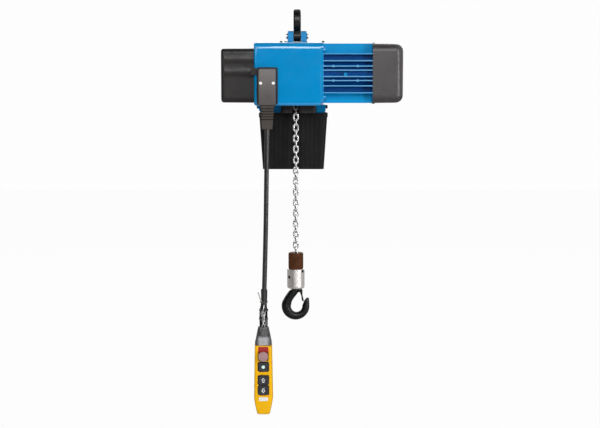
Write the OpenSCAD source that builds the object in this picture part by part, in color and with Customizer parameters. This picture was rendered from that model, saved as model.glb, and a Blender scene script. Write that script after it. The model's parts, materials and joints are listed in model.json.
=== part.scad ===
// Electric chain hoist with a pendant control, hanging from its suspension eye.
// Millimetres. Origin: centre of the suspension eye's bore. +X: motor side, +Y: back, +Z: up.

/* [Suspension] */
// Bore of the suspension eye
eye_bore = 36; // [30:1:38]
// Radial width of the eye's rim
eye_rim = 15; // [13:1:17]
// Thickness of the eye
eye_t = 20.5; // [18:0.5:26]
// Distance from the eye's bore to the suspension pin
eye_drop = 42; // [41:1:55]
// Diameter of the suspension pin
pin_d = 14; // [10:1:15]
// Thickness of each housing lug
lug_t = 15.2; // [10:0.1:18]
// Height of the pin above the housing
lug_rise = 18.3; // [17.5:0.1:26]

/* [Gear housing] */
// Distance from the eye's centre to the housing's left face
house_left = 118; // [114:1:130]
// Distance from the eye's centre to the housing's right face
house_right = 64.5; // [64:0.5:72]
// Height of the housing
house_h = 172; // [170:1:190]
// Depth of the housing from front to back
house_d = 170; // [166:1:180]
// Wall thickness of the casting
house_wall = 7; // [5:0.5:8]
// Radius of the housing's upper long edges
crown_r = 18; // [12:1:24]
// Drop of the feet below the housing
foot_drop = 22.6; // [18:0.2:26]

/* [Gear train] */
// Module of the first gear pair
module_1 = 1.25; // [1.15:0.05:1.25]
// Module of the second gear pair
module_2 = 1.5; // [1.4:0.05:1.5]
// Distance from the housing's top to the motor axis
motor_drop = 84; // [83:1:87]
// Distance from the housing's top to the load wheel's axis
wheel_drop = 100; // [98:1:104]

/* [Load chain] */
// Wire diameter of a link
chain_wire = 5; // [4.6:0.1:5.1]
// Pitch of the chain
chain_pitch = 15; // [14.6:0.1:15.6]
// Clear width inside a link
chain_inner = 6.5; // [6.3:0.1:7]
// Links between the load wheel and the hook block
hang_links = 36; // [30:2:40]

/* [Motor] */
// Height and depth of the finned motor
motor_size = 162; // [158:1:166]
// Length of the finned motor housing
motor_len = 134; // [120:1:150]
// Thickness of the motor flange
flange_t = 10; // [9.5:0.5:14]
// Thickness of a cooling fin
fin_t = 3; // [2:0.5:4]
// Length of the fan cover
cowl_len = 84; // [83:1:100]
// Wall thickness of the fan cover and the control cover
cover_wall = 3; // [2.5:0.5:4]

/* [Control cover] */
// Length of the control cover
cover_len = 90; // [86:1:110]
// Height of the control cover
cover_h = 148; // [144:1:154]
// Depth of the control cover
cover_d = 146; // [142:1:150]

/* [Plug and pendant] */
// Width of the control plug
plug_w = 48; // [46:1:56]
// Height of the control plug
plug_h = 100; // [96:1:104]
// Depth of the control plug
plug_d = 34; // [30:1:40]
// Diameter of the pendant cable
cable_d = 13; // [10:0.5:14]
// Length of cable seen between its two boots
cable_len = 544; // [500:2:600]
// Sideways offset of the pendant from the plug's boot
pendant_shift = 12; // [4:1:14]
// Width of the pendant at its widest
pendant_w = 53; // [52:1:60]
// Depth of the pendant from front to back
pendant_d = 44; // [42:1:50]

/* [Chain bucket] */
// Width of the bucket at its rim
bucket_w = 193; // [186:1:200]
// Depth of the bucket at its rim
bucket_d = 100; // [94:1:110]
// Height of the bucket
bucket_h = 159; // [150:1:180]
// Narrowing of the bucket towards its floor
bucket_taper = 20; // [10:1:26]

/* [Hook] */
// Diameter of the hook block
block_d = 49; // [46:0.5:50]
// Diameter of the seat inside the hook
seat_d = 32; // [30:0.5:34]
// Diameter of the hook's shank
shank_d = 18; // [16:0.5:18]
// Diameter of the rubber buffer
buffer_d = 42; // [40:0.5:46]

/* [Hidden] */
$fn = 48;
// radial gap of a seated piece, and of a turning or sliding one
fit = 0.05;
run = 0.08;
blue = [0.02, 0.36, 0.72];
black = [0.09, 0.09, 0.1];
dark = [0.2, 0.2, 0.21];
grey = [0.42, 0.4, 0.38];
steel = [0.72, 0.73, 0.75];
alu = [0.8, 0.8, 0.8];
copper = [0.75, 0.42, 0.2];
yellow = [0.95, 0.66, 0.1];
red = [0.75, 0.08, 0.08];
brown = [0.3, 0.17, 0.09];
white = [0.9, 0.9, 0.88];

// suspension
pin_z = -eye_drop;
boss_r = pin_d / 2 + 8.5;
lug_r = pin_d / 2 + 7.5;
lug_in = eye_t / 2 + 0.3;
lug_out = lug_in + lug_t;
retainer_x = lug_out + 0.2;
retainer_t = 1.2;
pin_half = retainer_x + retainer_t + 3.6;
pin_groove = 0.8;
root_d = pin_d - 2 * pin_groove;
neck_y = 16;
neck_z = eye_bore / 2 + 6;

// housing
house_top = pin_z - lug_rise;
house_bot = house_top - house_h;
house_mid = house_top - house_h / 2;
house_front = -house_d / 2;
x_left = -house_left;
x_right = house_right;
side_r = 8;
edge_r = 8;
foot_bot = house_bot - foot_drop;
chain_x = -4;
inner_wall = 12;
room_x0 = -24;
plate_x0 = 15.5;
plate_t = 8;
plate_x1 = plate_x0 + plate_t;
step = 4;
wire_door = 96;
mouth_x = 36;
mouth_r = 6;
screw_d = 4;
bolt_d = 6;
bolt_head = 10;
gland_d = 20;
gland_bore = 11;

// chain wheel: the flat links lie deeper than the upright ones
pockets = 5;
link_step = 180 / pockets;
link_gap = 0.1;
arc_r = chain_inner / 2;
link_r = arc_r + chain_wire / 2;
link_half = (chain_pitch + link_gap) / 2;
link_play = arc_r - chain_wire / 2;
arc_off = link_half - arc_r;
wire_off = link_half + chain_wire / 2;
flat_r = (arc_off + 0.9 * link_play + wire_off * cos(link_step)) / sin(link_step);
upright_r = flat_r * cos(link_step) + wire_off * sin(link_step) + 0.3 * link_play;
wheel_y = upright_r;
wheel_z = house_top - wheel_drop;
slack_y = wheel_y + flat_r;
mouth_y = slack_y + 34;
wheel_out = upright_r + 1.5;
wheel_w = 30;
wheel_x0 = chain_x - wheel_w / 2;

// gear train
teeth_pinion = 12;
teeth_gear = 60;
pressure = 25;
backlash = 0.16;
half_tooth = 180 + 180 / teeth_gear;
motor_y = 0;
motor_z = house_top - motor_drop;
centre_1 = module_1 * (teeth_pinion + teeth_gear) / 2;
centre_2 = module_2 * (teeth_pinion + teeth_gear) / 2;
to_wheel = [wheel_y - motor_y, wheel_z - motor_z];
axis_gap = norm(to_wheel);
ahead = to_wheel / axis_gap;
along = (centre_1 * centre_1 - centre_2 * centre_2 + axis_gap * axis_gap) / (2 * axis_gap);
aside = sqrt(centre_1 * centre_1 - along * along);
idler_y = motor_y + along * ahead[0] + aside * ahead[1];
idler_z = motor_z + along * ahead[1] - aside * ahead[0];
angle_1 = atan2(idler_z - motor_z, idler_y - motor_y);
angle_2 = atan2(wheel_z - idler_z, wheel_y - idler_y);
out_gear_x0 = plate_x1 + 2;
out_gear_t = 14;
idler_gear_x0 = out_gear_x0 + out_gear_t + 6;
idler_gear_t = 12;
wheel_seat = 25;
out_seat = 22;
idler_seat = 12;
idler_hub = 16;
motor_seat = 20;
rear_seat = 17;
wheel_race = 47;
idler_race = 28;
motor_race = 42;
rear_race = 40;
idler_bearing_t = 6;
bearing_t = 8;

// motor
spigot = 3;
spigot_d = 150;
flange_x = x_right - spigot;
motor_x0 = flange_x + flange_t;
motor_x1 = motor_x0 + motor_len;
core_r = 64;
stator_r = 58;
stator_x0 = motor_x0 + 16;
stator_len = motor_len - 39;
rotor_r = 34.6;
bore_r = 35;
fin_offsets = [8.5, 19.5, 34, 53];
lip = 1;
shield_t = 8;
shield_x1 = motor_x1 + shield_t;
hub_t = 8;
disc_x0 = shield_x1 + 0.4;
disc_t = 8;
coil_gap = disc_t + 7;
coil_x0 = shield_x1 + coil_gap;
coil_t = 22;
fan_x0 = coil_x0 + coil_t + 6;
fan_t = 20;
shaft_end = fan_x0 + fan_t + 1;
pinion_x0 = idler_gear_x0 - 1;
pinion_t = idler_gear_t + 2;
cowl_x1 = motor_x1 + cowl_len;
cowl_corner = 22;
cowl_draft = 0.8;
cowl_screw_y = 45;
cowl_screw_x = motor_x1 + shield_t / 2;
cowl_round = 20;
flange_h = 2 * (motor_drop - 1);
flange_r = 14;
bolt_inset = 9;
bolt_depth = 16;
bolt_y = house_d / 2 - bolt_inset;
bolt_z = flange_h / 2 - 2 * bolt_inset - 1;

// control cover
cover_x0 = x_left - cover_len;
cover_drop = 16.2;
cover_mid = house_top - cover_drop - cover_h / 2;
cover_round = 7;
screw_sink = 3;
cover_bolt_y = cover_d / 2 - 17;
cover_bolt_z = cover_h / 2 - 17;
panel_t = 2;
panel_x0 = x_left - panel_t;
panel_inset = 7;
stud_l = 5;
contactor_w = 44;
contactor_h = 66;
contactor_d = 58;
contactor_y = contactor_w / 2 + 6;
contactor_z = cover_mid - 18;
contact_hole = 7;
contact_inset = 9;
terminal_w = 100;
terminal_h = 12;
terminal_d = 28;
terminal_z = cover_mid - cover_h / 2 + 11;

// plug
plug_x = -81.2;
plug_drop = 71.5;
plug_rim = 4.5;
plug_top = house_top - plug_drop;
plug_bot = plug_top - plug_h;
plug_mid = plug_top - plug_h / 2;
plug_r = 5;
plug_screw_x = 17;
plug_screw_z = plug_top - 39;
contact_z = plug_top - 52;
pins_w = 26;
pins_h = 57;
base_t = 6;
base_y0 = house_front - base_t;
plug_y0 = base_y0 - plug_d;
cable_y = base_y0 - plug_d / 2;
boot_h = 62.4;
boot_bot = plug_bot - boot_h;
pendant_x = plug_x - pendant_shift;
pendant_boot_top = boot_bot - cable_len;
pendant_boot_h = 49;
pendant_top = pendant_boot_top - pendant_boot_h;
pendant_h = 195;
pendant_front_y = cable_y - pendant_d / 2;
pendant_back_y = cable_y + pendant_d / 2;
shell_t = 3;
recess = 2;
press = 4;
button_w = 26;
button_h = 24;
button_r = 5;
dish_r = 60;
plunger_d = 8;
plunger_l = 7;
stop_stem = 16;
key_gap = 0.4;
key_rim = 1.6;
field_w = button_w + 6;
pendant_top_w = 48;
post_x = 15;
post_d = 3;
stop_drop = 29;
start_drop = 59.5;
up_drop = 97;
down_drop = 125.2;
stop_z = pendant_top - stop_drop;
start_z = pendant_top - start_drop;
up_z = pendant_top - up_drop;
down_z = pendant_top - down_drop;
post_zs = [pendant_top - 10, down_z - 22];
key_y0 = pendant_front_y - 3;
key_seat_y = pendant_front_y + recess + shell_t;

// chain guide, bucket and hook block
guide_bot = foot_bot + 1.8;
bucket_top = foot_bot - 0.2;
bucket_bot = bucket_top - bucket_h;
bucket_x = -11.2;
bucket_wall = 3;
bucket_r = 12;
bucket_y0 = block_d / 2 + 4.2;
ear_t = 4;
foot_in_left = -46;
foot_in_right = 54;
foot_y0 = 38;
foot_len = 46;
bucket_bolt_z = house_bot - 6;
bucket_bolt_y = foot_y0 + foot_len / 2;
spot_x = x_left + 7;
foot_out = motor_x0 + 8.5;
last_link_z = wheel_z - hang_links * chain_pitch;
anchor_d = 6;
anchor_z = last_link_z - link_half + anchor_d / 2 + link_gap;
anchor_depth = 11.2;
block_top = anchor_z + anchor_depth;
block_h = 55.5;
block_bot = block_top - block_h;
buffer_h = 46;
buffer_top = block_top + buffer_h;
link_hole = 2 * (link_r + chain_wire / 2) + 3.5;
nest_d = 34;
nest_bot = block_bot + 6;
thrust_t = 7;
nut_t = 9;
nut_d = 30;
thread_d = 14;
nest_top = nest_bot + thrust_t + nut_t + 3;
shank_top = nest_top - 1;
screw_y = 15;
hook_x = chain_x;

// Extrusions of a plane figure along one axis: figures are drawn in YZ, XZ and XY.
module along_x(x0, h) { translate([x0, 0, 0]) rotate([90, 0, 90]) linear_extrude(h) children(); }
module along_y(y0, h) { translate([0, y0 + h, 0]) rotate([90, 0, 0]) linear_extrude(h) children(); }
module along_z(z0, h) { translate([0, 0, z0]) linear_extrude(h) children(); }

// Round rods along one axis, from their start and their length.
module rod_x(x0, h, d, y, z) { translate([x0, y, z]) rotate([0, 90, 0]) cylinder(h = h, d = d); }
module rod_y(y0, h, d, x, z) { translate([x, y0, z]) rotate([-90, 0, 0]) cylinder(h = h, d = d); }
module rod_z(z0, h, d, x, y) { translate([x, y, z0]) cylinder(h = h, d = d); }

// Rectangle with one radius at its upper corners and another at its lower ones.
module rounded(w, h, rt, rb) {
  translate([-w / 2, rb - h / 2]) square([w, h - rt - rb]);
  translate([rt - w / 2, h / 2 - rt]) square([w - 2 * rt, rt]);
  translate([rb - w / 2, -h / 2]) square([w - 2 * rb, rb]);
  for (s = [-1, 1]) {
    translate([s * (w / 2 - rt), h / 2 - rt]) circle(rt);
    translate([s * (w / 2 - rb), rb - h / 2]) circle(rb);
  }
}

// Socket head screw along +X: head outside x0, shank inside.
module cap_screw(x0, y, z, head_d, head_t, shank_d, shank_l) {
  difference() {
    rod_x(x0, head_t, head_d, y, z);
    translate([x0 + 0.45 * head_t, y, z]) rotate([0, 90, 0])
      cylinder(h = head_t, d = 0.55 * head_d, $fn = 6);
  }
  rod_x(x0 - shank_l, shank_l, shank_d, y, z);
}

// Ball bearing drawn as two races closed by a shield.
module bearing(x0, w, od, id, y, z) {
  difference() {
    rod_x(x0, w, od - 2 * fit, y, z);
    rod_x(x0 - 1, w + 2, id + 2 * run, y, z);
    for (s = [0, 1]) difference() {
      rod_x(x0 + s * w - 0.6, 1.2, (od * 2 + id) / 3, y, z);
      rod_x(x0 + s * w - 1, 2, (od + 2 * id) / 3, y, z);
    }
  }
}

// Involute spur gear as a plane figure with a tooth centred on angle 0.
function inv(a) = tan(a) * 180 / PI - a;
function polar(r, a) = [r * cos(a), r * sin(a)];
module spur(teeth, mod) {
  rp = mod * teeth / 2;
  rb = rp * cos(pressure);
  ra = rp + mod;
  rf = rp - 1.25 * mod;
  half = 90 / teeth - backlash / 2 / rp * 180 / PI + inv(pressure);
  steps = 5;
  radii = [rf, for (i = [0 : steps]) max(rb, rf) + 0.02 + (ra - max(rb, rf) - 0.02) * i / steps];
  flank = [for (r = radii) [r, half - inv(acos(rb / max(r, rb + 0.01)))]];
  polygon([for (t = [0 : teeth - 1]) each concat(
    [for (i = [0 : len(flank) - 1]) polar(flank[i][0], t * 360 / teeth - flank[i][1])],
    [for (i = [len(flank) - 1 : -1 : 0]) polar(flank[i][0], t * 360 / teeth + flank[i][1])])]);
}
module gear_x(x0, t, teeth, mod, y, z, turn) {
  translate([0, y, z]) along_x(x0, t) rotate(turn) spur(teeth, mod);
}

// Thin ring along X.
module ring_x(x0, h, od, id, y, z) {
  difference() {
    rod_x(x0, h, od, y, z);
    rod_x(x0 - 1, h + 2, id, y, z);
  }
}

module suspension_eye() {
  color(black) difference() {
    union() {
      rotate([0, 90, 0]) rotate_extrude($fn = 96) translate([eye_bore / 2 + eye_rim / 2, 0])
        rounded(eye_rim, eye_t, 5, 5);
      rod_x(-eye_t / 2, eye_t, 2 * boss_r, 0, pin_z);
      along_x(3 - eye_t / 2, eye_t - 6)
        polygon([[-neck_y, -neck_z], [neck_y, -neck_z], [boss_r - 1, pin_z], [1 - boss_r, pin_z]]);
    }
    rod_x(-eye_t, 2 * eye_t, pin_d + 2 * run, 0, pin_z);
  }
}

module suspension_pin() {
  color(steel) difference() {
    rod_x(-pin_half, 2 * pin_half, pin_d, 0, pin_z);
    for (x = [retainer_x, -retainer_x - retainer_t])
      ring_x(x - fit, retainer_t + 2 * fit, pin_d + 2, root_d, 0, pin_z);
  }
}

module pin_retainers() {
  color(black) for (x = [retainer_x, -retainer_x - retainer_t]) difference() {
    ring_x(x, retainer_t, pin_d + 6, root_d + 2 * fit, 0, pin_z);
    translate([x - 1, -2.5, pin_z - pin_d]) cube([retainer_t + 2, 5, pin_d / 2 + 3]);
  }
}

module house_profile(inset) {
  translate([0, house_mid])
    rounded(house_d - 2 * inset, house_h - 2 * inset, max(crown_r - inset, 3), max(side_r - inset, 3));
}

module lug(s) {
  along_x(s > 0 ? lug_in : -lug_out, lug_t) {
    translate([0, pin_z]) circle(lug_r);
    polygon([[-lug_r, pin_z], [lug_r, pin_z], [lug_r + 3, house_top + 5], [lug_r + 10, house_top - 1],
             [-lug_r - 10, house_top - 1], [-lug_r - 3, house_top + 5]]);
  }
  along_y(-lug_r, 2 * lug_r)
    polygon([[s * (lug_out - 1), house_top + 8], [s * lug_out, house_top + 8],
             [s * (lug_out + 2), house_top + 3], [s * (lug_out + 6), house_top - 1],
             [s * (lug_out - 1), house_top - 1]]);
}

module feet() {
  along_y(foot_y0, foot_len)
    polygon([[x_left + 3, house_bot + 10], [x_left + 5, house_bot - 4], [x_left + 14, foot_bot],
             [foot_in_left, foot_bot], [foot_in_left, house_bot + 2]]);
  along_y(foot_y0, foot_len)
    polygon([[foot_in_right, house_bot + 2], [foot_in_right, foot_bot], [foot_out - 4, foot_bot],
             [foot_out, foot_bot + 5], [foot_out, house_bot], [x_right, house_bot + 2]]);
}

// Four places at the same distance from a centre, in YZ.
module four_places(y, z) {
  for (s = [-1, 1], t = [-1, 1]) translate([0, s * y, t * z]) children();
}

module casting_outside() {
  intersection() {
    along_x(x_left, x_right - x_left) house_profile(0);
    along_y(house_front, house_d) translate([(x_left + x_right) / 2 + 20, house_mid])
      rounded(x_right - x_left + 40, house_h, side_r, side_r);
    along_z(house_bot - 1, house_h + 2) translate([(x_left + x_right) / 2 + 20, 0])
      rounded(x_right - x_left + 40, house_d, edge_r, edge_r);
  }
  for (s = [-1, 1]) lug(s);
  feet();
}

// Control chamber with its opening to the cover, chain room, gear room and the chain's mouth.
module casting_rooms() {
  along_x(x_left + house_wall, room_x0 - inner_wall - x_left - house_wall) house_profile(house_wall);
  along_x(x_left - 1, house_wall + 2) translate([0, cover_mid]) rounded(wire_door, wire_door, 8, 8);
  along_x(room_x0, plate_x0 - room_x0) house_profile(house_wall + step);
  along_x(plate_x0, x_right - plate_x0 + 1) house_profile(house_wall);
  along_z(house_bot - 1, house_wall + step + 2) translate([chain_x, slack_y / 2])
    rounded(mouth_x, mouth_y, mouth_r, mouth_r);
  rod_x(room_x0 - bearing_t, bearing_t + 1, wheel_race, wheel_y, wheel_z);
  along_y(house_front - 1, house_wall + 2) translate([plug_x, contact_z])
    rounded(pins_w + 1, pins_h + 1, 4, 4);
}

module casting_holes() {
  rod_x(-lug_out - 20, 2 * lug_out + 40, pin_d + 2 * fit, 0, pin_z);
  rod_y(house_d / 2 - house_wall - 1, house_wall + 2, gland_d + 2 * fit, plug_x, house_mid);
  translate([0, 0, motor_z]) four_places(bolt_y, bolt_z)
    rod_x(x_right - bolt_depth, bolt_depth + 1, bolt_d + 2 * fit, 0, 0);
  translate([0, 0, cover_mid]) four_places(cover_bolt_y, cover_bolt_z)
    rod_x(x_left - 1, house_wall + 2, screw_d + 2 * fit, 0, 0);
  for (s = [-1, 1])
    rod_y(house_front - 1, house_wall + 2, screw_d + 2 * fit, plug_x + s * plug_screw_x, plug_screw_z);
  rod_x(foot_in_right - 1, x_right, bolt_d + 2 * fit, bucket_bolt_y, bucket_bolt_z);
  rod_x(x_left - 1, foot_in_left - x_left + 2, bolt_d + 2 * fit, bucket_bolt_y, bucket_bolt_z);
  rod_x(x_left - 1, spot_x - x_left + 1, bolt_head + 2, bucket_bolt_y, bucket_bolt_z);
}

module gear_housing() {
  color(blue) difference() {
    union() {
      difference() {
        casting_outside();
        casting_rooms();
      }
      translate([0, 0, motor_z]) four_places(bolt_y, bolt_z)
        rod_x(x_right - bolt_depth, bolt_depth, 2 * bolt_inset - 2, 0, 0);
    }
    casting_holes();
  }
}

module gearbox_plate() {
  color(alu) difference() {
    along_x(plate_x0, plate_t) house_profile(house_wall + 0.1);
    rod_x(plate_x0 - 1, plate_t + 2, wheel_race, wheel_y, wheel_z);
    rod_x(plate_x1 - idler_bearing_t, plate_t + 1, idler_race, idler_y, idler_z);
  }
}

module motor_flange() {
  color(blue) difference() {
    union() {
      along_x(x_right, flange_t - spigot) translate([0, motor_z])
        rounded(house_d, flange_h, flange_r, flange_r);
      rod_x(flange_x, spigot + 1, spigot_d, motor_y, motor_z);
    }
    rod_x(flange_x - 1, idler_bearing_t + 1, idler_race, idler_y, idler_z);
    rod_x(flange_x + lip, flange_t, motor_race, motor_y, motor_z);
    rod_x(flange_x - 1, flange_t, motor_seat + 4, motor_y, motor_z);
    translate([0, 0, motor_z]) four_places(bolt_y, bolt_z)
      rod_x(flange_x - 1, flange_t + 2, bolt_d + 2 * fit, 0, 0);
  }
}

module flange_bolts() {
  color(steel) translate([0, 0, motor_z]) four_places(bolt_y, bolt_z)
    cap_screw(motor_x0, 0, 0, bolt_head, bolt_d, bolt_d, flange_t - spigot + bolt_depth - 2);
}

// Box along X with rounded long edges and one rounded end; the other end is cut square.
module end_box(x_open, x_end, w, h, r, end_r, draft) {
  s = x_end > x_open ? 1 : -1;
  hull() {
    along_x(min(x_open, x_open + s * 0.1), 0.1) rounded(w, h, r, r, $fn = 32);
    for (k = [0 : 4]) {
      cut = 2 * end_r * (1 - cos(k * 22.5)) + 2 * draft;
      along_x(x_end - s * end_r * (1 - sin(k * 22.5)) - (s > 0 ? 0.1 : 0), 0.1)
        rounded(w - cut, h - cut, max(r - cut / 2, 2), max(r - cut / 2, 2), $fn = 32);
    }
  }
}

module control_cover() {
  rib_r = 30;
  color(black) difference() {
    union() {
      translate([0, 0, cover_mid]) end_box(x_left, cover_x0, cover_d, cover_h, 14, cover_round, 0.6);
      // two broad ribs and a flat field on the front
      for (z = [cover_h / 2 - 30, cover_h / 2 - 64]) along_x(cover_x0 + 9, cover_len - 9)
        intersection() {
          translate([rib_r - cover_d / 2 - 2, cover_mid + z]) circle(rib_r);
          translate([-cover_d / 2 - 3, cover_mid + z - 14]) square([4, 28]);
        }
      translate([cover_x0 + 9, -cover_d / 2 - 1.2, cover_mid - cover_h / 2 + 14])
        cube([cover_len - 9, 2.2, cover_h / 2 - 24]);
      // tab round the housing's edge, up to the plug's socket
      translate([x_left - 8, house_front - 4, cover_mid + 1.5]) {
        cube([7.8, (house_d - cover_d) / 2 + 5, 19]);
        cube([plug_x - plug_w / 2 - plug_rim - 0.4 - x_left + 8, 3.8, 19]);
      }
    }
    difference() {
      translate([0, 0, cover_mid]) end_box(x_left + 1, cover_x0 + cover_wall, cover_d - 2 * cover_wall,
                                           cover_h - 2 * cover_wall, 11, 5, 0.6);
      translate([0, 0, cover_mid]) four_places(cover_bolt_y, cover_bolt_z)
        rod_x(cover_x0, screw_sink + cover_wall, 4 * screw_d, 0, 0);
    }
    translate([0, 0, cover_mid]) four_places(cover_bolt_y, cover_bolt_z) {
      rod_x(cover_x0 - 1, cover_wall + 8, screw_d + 2 * fit, 0, 0);
      rod_x(cover_x0 - 1, screw_sink + 1, 2 * screw_d + 0.6, 0, 0);
    }
  }
}

module cover_screws() {
  color(steel) translate([0, 0, cover_mid]) four_places(cover_bolt_y, cover_bolt_z) mirror([1, 0, 0])
    cap_screw(-cover_x0 - screw_sink, 0, 0, 2 * screw_d, screw_sink, screw_d,
              cover_len + house_wall - 1 - screw_sink);
}

module control_panel() {
  color(steel) difference() {
    union() {
      along_x(panel_x0, panel_t) translate([0, cover_mid])
        rounded(cover_d - 2 * panel_inset, cover_h - 2 * panel_inset, 6, 6);
      translate([0, 0, cover_mid]) four_places(cover_bolt_y, cover_bolt_z)
        rod_x(panel_x0 - stud_l, stud_l, 2 * screw_d + 1, 0, 0);
    }
    translate([0, 0, cover_mid]) four_places(cover_bolt_y, cover_bolt_z)
      rod_x(panel_x0 - stud_l - 1, stud_l + panel_t + 2, screw_d + 2 * fit, 0, 0);
    along_x(panel_x0 - 1, panel_t + 2) translate([0, terminal_z + terminal_h + 7]) rounded(40, 14, 4, 4);
  }
}

module contactors() {
  color(dark) for (y = [-contactor_y, contactor_y])
  translate([panel_x0 - contactor_d, y, contactor_z]) difference() {
    translate([0, -contactor_w / 2, 0]) cube([contactor_d, contactor_w, contactor_h]);
    for (k = [-1, 0, 1], z = [contact_inset, contactor_h - contact_inset])
      rod_x(-1, 10, contact_hole, k * contactor_w / 3.4, z);
    translate([-1, -contactor_w / 4, contactor_h * 0.36]) cube([6, contactor_w / 2, contactor_h * 0.28]);
  }
}

module terminal_block() {
  poles = 9;
  pole = terminal_w / poles;
  color(white) translate([panel_x0 - terminal_d, -terminal_w / 2, terminal_z]) difference() {
    cube([terminal_d, terminal_w, terminal_h]);
    for (k = [0 : poles - 1]) rod_x(-1, terminal_d / 2, pole / 2, (k + 0.5) * pole, terminal_h / 2);
    for (k = [1 : poles - 1])
      translate([-1, k * pole - 0.7, -1]) cube([terminal_d * 0.65, 1.4, terminal_h + 2]);
  }
}

module mains_gland() {
  nut_w = 27;
  nut_l = 6;
  cap_l = 14;
  color(dark) difference() {
    union() {
      rod_y(house_d / 2 - house_wall, house_wall, gland_d, plug_x, house_mid);
      along_y(house_d / 2, nut_l) translate([plug_x, house_mid]) circle(d = nut_w, $fn = 6);
      rod_y(house_d / 2 + nut_l, cap_l, gland_d + 2, plug_x, house_mid);
    }
    rod_y(house_d / 2 - house_wall - 1, house_wall + nut_l + cap_l + 2, gland_bore, plug_x, house_mid);
  }
}

module chain_guide() {
  skirt_d = 48;
  rim = 7;
  plate = 8;
  color(black) difference() {
    union() {
      along_z(house_bot - plate, plate) translate([chain_x, slack_y / 2])
        rounded(mouth_x + 2 * rim, mouth_y + 2 * rim - 2, mouth_r + 2, mouth_r + 2);
      along_z(house_bot, house_wall + step - 1) translate([chain_x, slack_y / 2])
        rounded(mouth_x - 2 * run, mouth_y - 2 * run, mouth_r, mouth_r);
      rod_z(guide_bot, house_bot - guide_bot, 2 * link_hole, chain_x, 0);
      along_z(guide_bot, house_bot - guide_bot) translate([(foot_in_left + foot_in_right) / 2, 0])
        rounded(foot_in_right - foot_in_left - 6, skirt_d, 5, 5);
    }
    for (y = [0, slack_y]) rod_z(guide_bot - 1, 60, link_hole, chain_x, y);
    // open front, through which the hanging chain shows
    translate([chain_x - link_hole / 2, -skirt_d, guide_bot - 1])
      cube([link_hole, skirt_d, house_bot - guide_bot]);
  }
}

module bucket_slab(z, grow, t) {
  f = (z - bucket_top) / bucket_h;
  w = bucket_w + bucket_taper * f + 2 * grow;
  d = bucket_d + 0.6 * bucket_taper * f + 2 * grow;
  r = bucket_r + grow;
  along_z(z, t) translate([bucket_x, bucket_y0 + bucket_d / 2]) rounded(w, d, r, r, $fn = 32);
}

module chain_bucket() {
  slope = atan(0.3 * bucket_taper / bucket_h);
  ear_xs = [foot_in_left + 0.1, foot_in_right - ear_t - 0.1];
  color(black) difference() {
    union() {
      difference() {
        union() {
          hull() {
            bucket_slab(bucket_top - 0.1, 0, 0.1);
            bucket_slab(bucket_bot, 0, 0.1);
          }
          bucket_slab(bucket_top - 12, 1.6, 12);
          // flutes of the front wall
          translate([bucket_x, bucket_y0, bucket_top]) rotate([slope, 0, 0])
            for (k = [-6 : 6]) translate([k * 12.6 - 3, -0.9, 8 - bucket_h]) cube([6, 3, bucket_h - 16]);
        }
        hull() {
          bucket_slab(bucket_top + 1, -bucket_wall, 0.1);
          bucket_slab(bucket_bot + bucket_wall, -bucket_wall, 0.1);
        }
      }
      // cross bars with the ears that are bolted inside the feet
      for (x = ear_xs) {
        translate([x, bucket_y0 + 1, bucket_top - 8]) cube([ear_t, bucket_d - 2, 8]);
        translate([x, bucket_bolt_y - 14, bucket_top - 4]) cube([ear_t, 28, house_bot - bucket_top + 3]);
      }
    }
    for (x = ear_xs) rod_x(x - 1, ear_t + 2, bolt_d + 2 * fit, bucket_bolt_y, bucket_bolt_z);
  }
}

module hex_nut(x0, t, y, z) {
  along_x(x0, t) translate([y, z]) difference() {
    circle(d = bolt_head * 1.15, $fn = 6);
    circle(d = bolt_d + 2 * fit);
  }
}

module bucket_bolts() {
  nut_t = 5;
  past = ear_t + nut_t + 2;
  y = bucket_bolt_y;
  z = bucket_bolt_z;
  color(black) {
    cap_screw(foot_out, y, z, bolt_head, bolt_d, bolt_d, foot_out - foot_in_right + past);
    hex_nut(foot_in_right - ear_t - 0.2 - nut_t, nut_t, y, z);
    mirror([1, 0, 0]) cap_screw(-spot_x, y, z, bolt_head, 4, bolt_d, foot_in_left - spot_x + past);
    hex_nut(foot_in_left + ear_t + 0.2, nut_t, y, z);
  }
}

module bearings() {
  color(steel) {
    bearing(room_x0 - bearing_t, bearing_t, wheel_race, wheel_seat, wheel_y, wheel_z);
    bearing(plate_x0, plate_t, wheel_race, wheel_seat, wheel_y, wheel_z);
    bearing(plate_x1 - idler_bearing_t, idler_bearing_t, idler_race, idler_seat, idler_y, idler_z);
    bearing(flange_x, idler_bearing_t, idler_race, idler_seat, idler_y, idler_z);
    bearing(flange_x + lip, flange_t - lip, motor_race, motor_seat, motor_y, motor_z);
    bearing(motor_x1 - hub_t + 2, 11, rear_race, rear_seat, motor_y, motor_z);
  }
}

module motor_section() {
  half = motor_size / 2;
  difference() {
    union() {
      circle(core_r, $fn = 72);
      for (o = fin_offsets, s = [-1, 1]) {
        translate([-half, s * o - fin_t / 2]) square([motor_size, fin_t]);
        translate([s * o - fin_t / 2, -half]) square([fin_t, motor_size]);
      }
    }
    circle(stator_r + fit, $fn = 72);
  }
}

module motor_housing() {
  pad_x = motor_x0 + motor_len * 0.45;
  color(blue) translate([0, motor_y, motor_z]) {
    along_x(motor_x0, motor_len) motor_section();
    // bosses of the bare plate field on the front
    for (s = [-1, 1], t = [-1, 1])
      rod_y(-motor_size / 2 - 0.5, motor_size / 2 - core_r + 4, 7, pad_x + s * 33, t * fin_offsets[1]);
    rod_y(-motor_size / 2 + 2, motor_size / 2 - core_r + 1, 9, pad_x, -3);
  }
}

module stator_core() {
  color(steel) ring_x(stator_x0, stator_len, 2 * stator_r, 2 * bore_r, motor_y, motor_z);
}

module stator_winding() {
  color(copper) for (x = [stator_x0 - 12, stator_x0 + stator_len])
    ring_x(x, 12, 2 * stator_r - 8, 2 * bore_r + 10, motor_y, motor_z);
}

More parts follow.
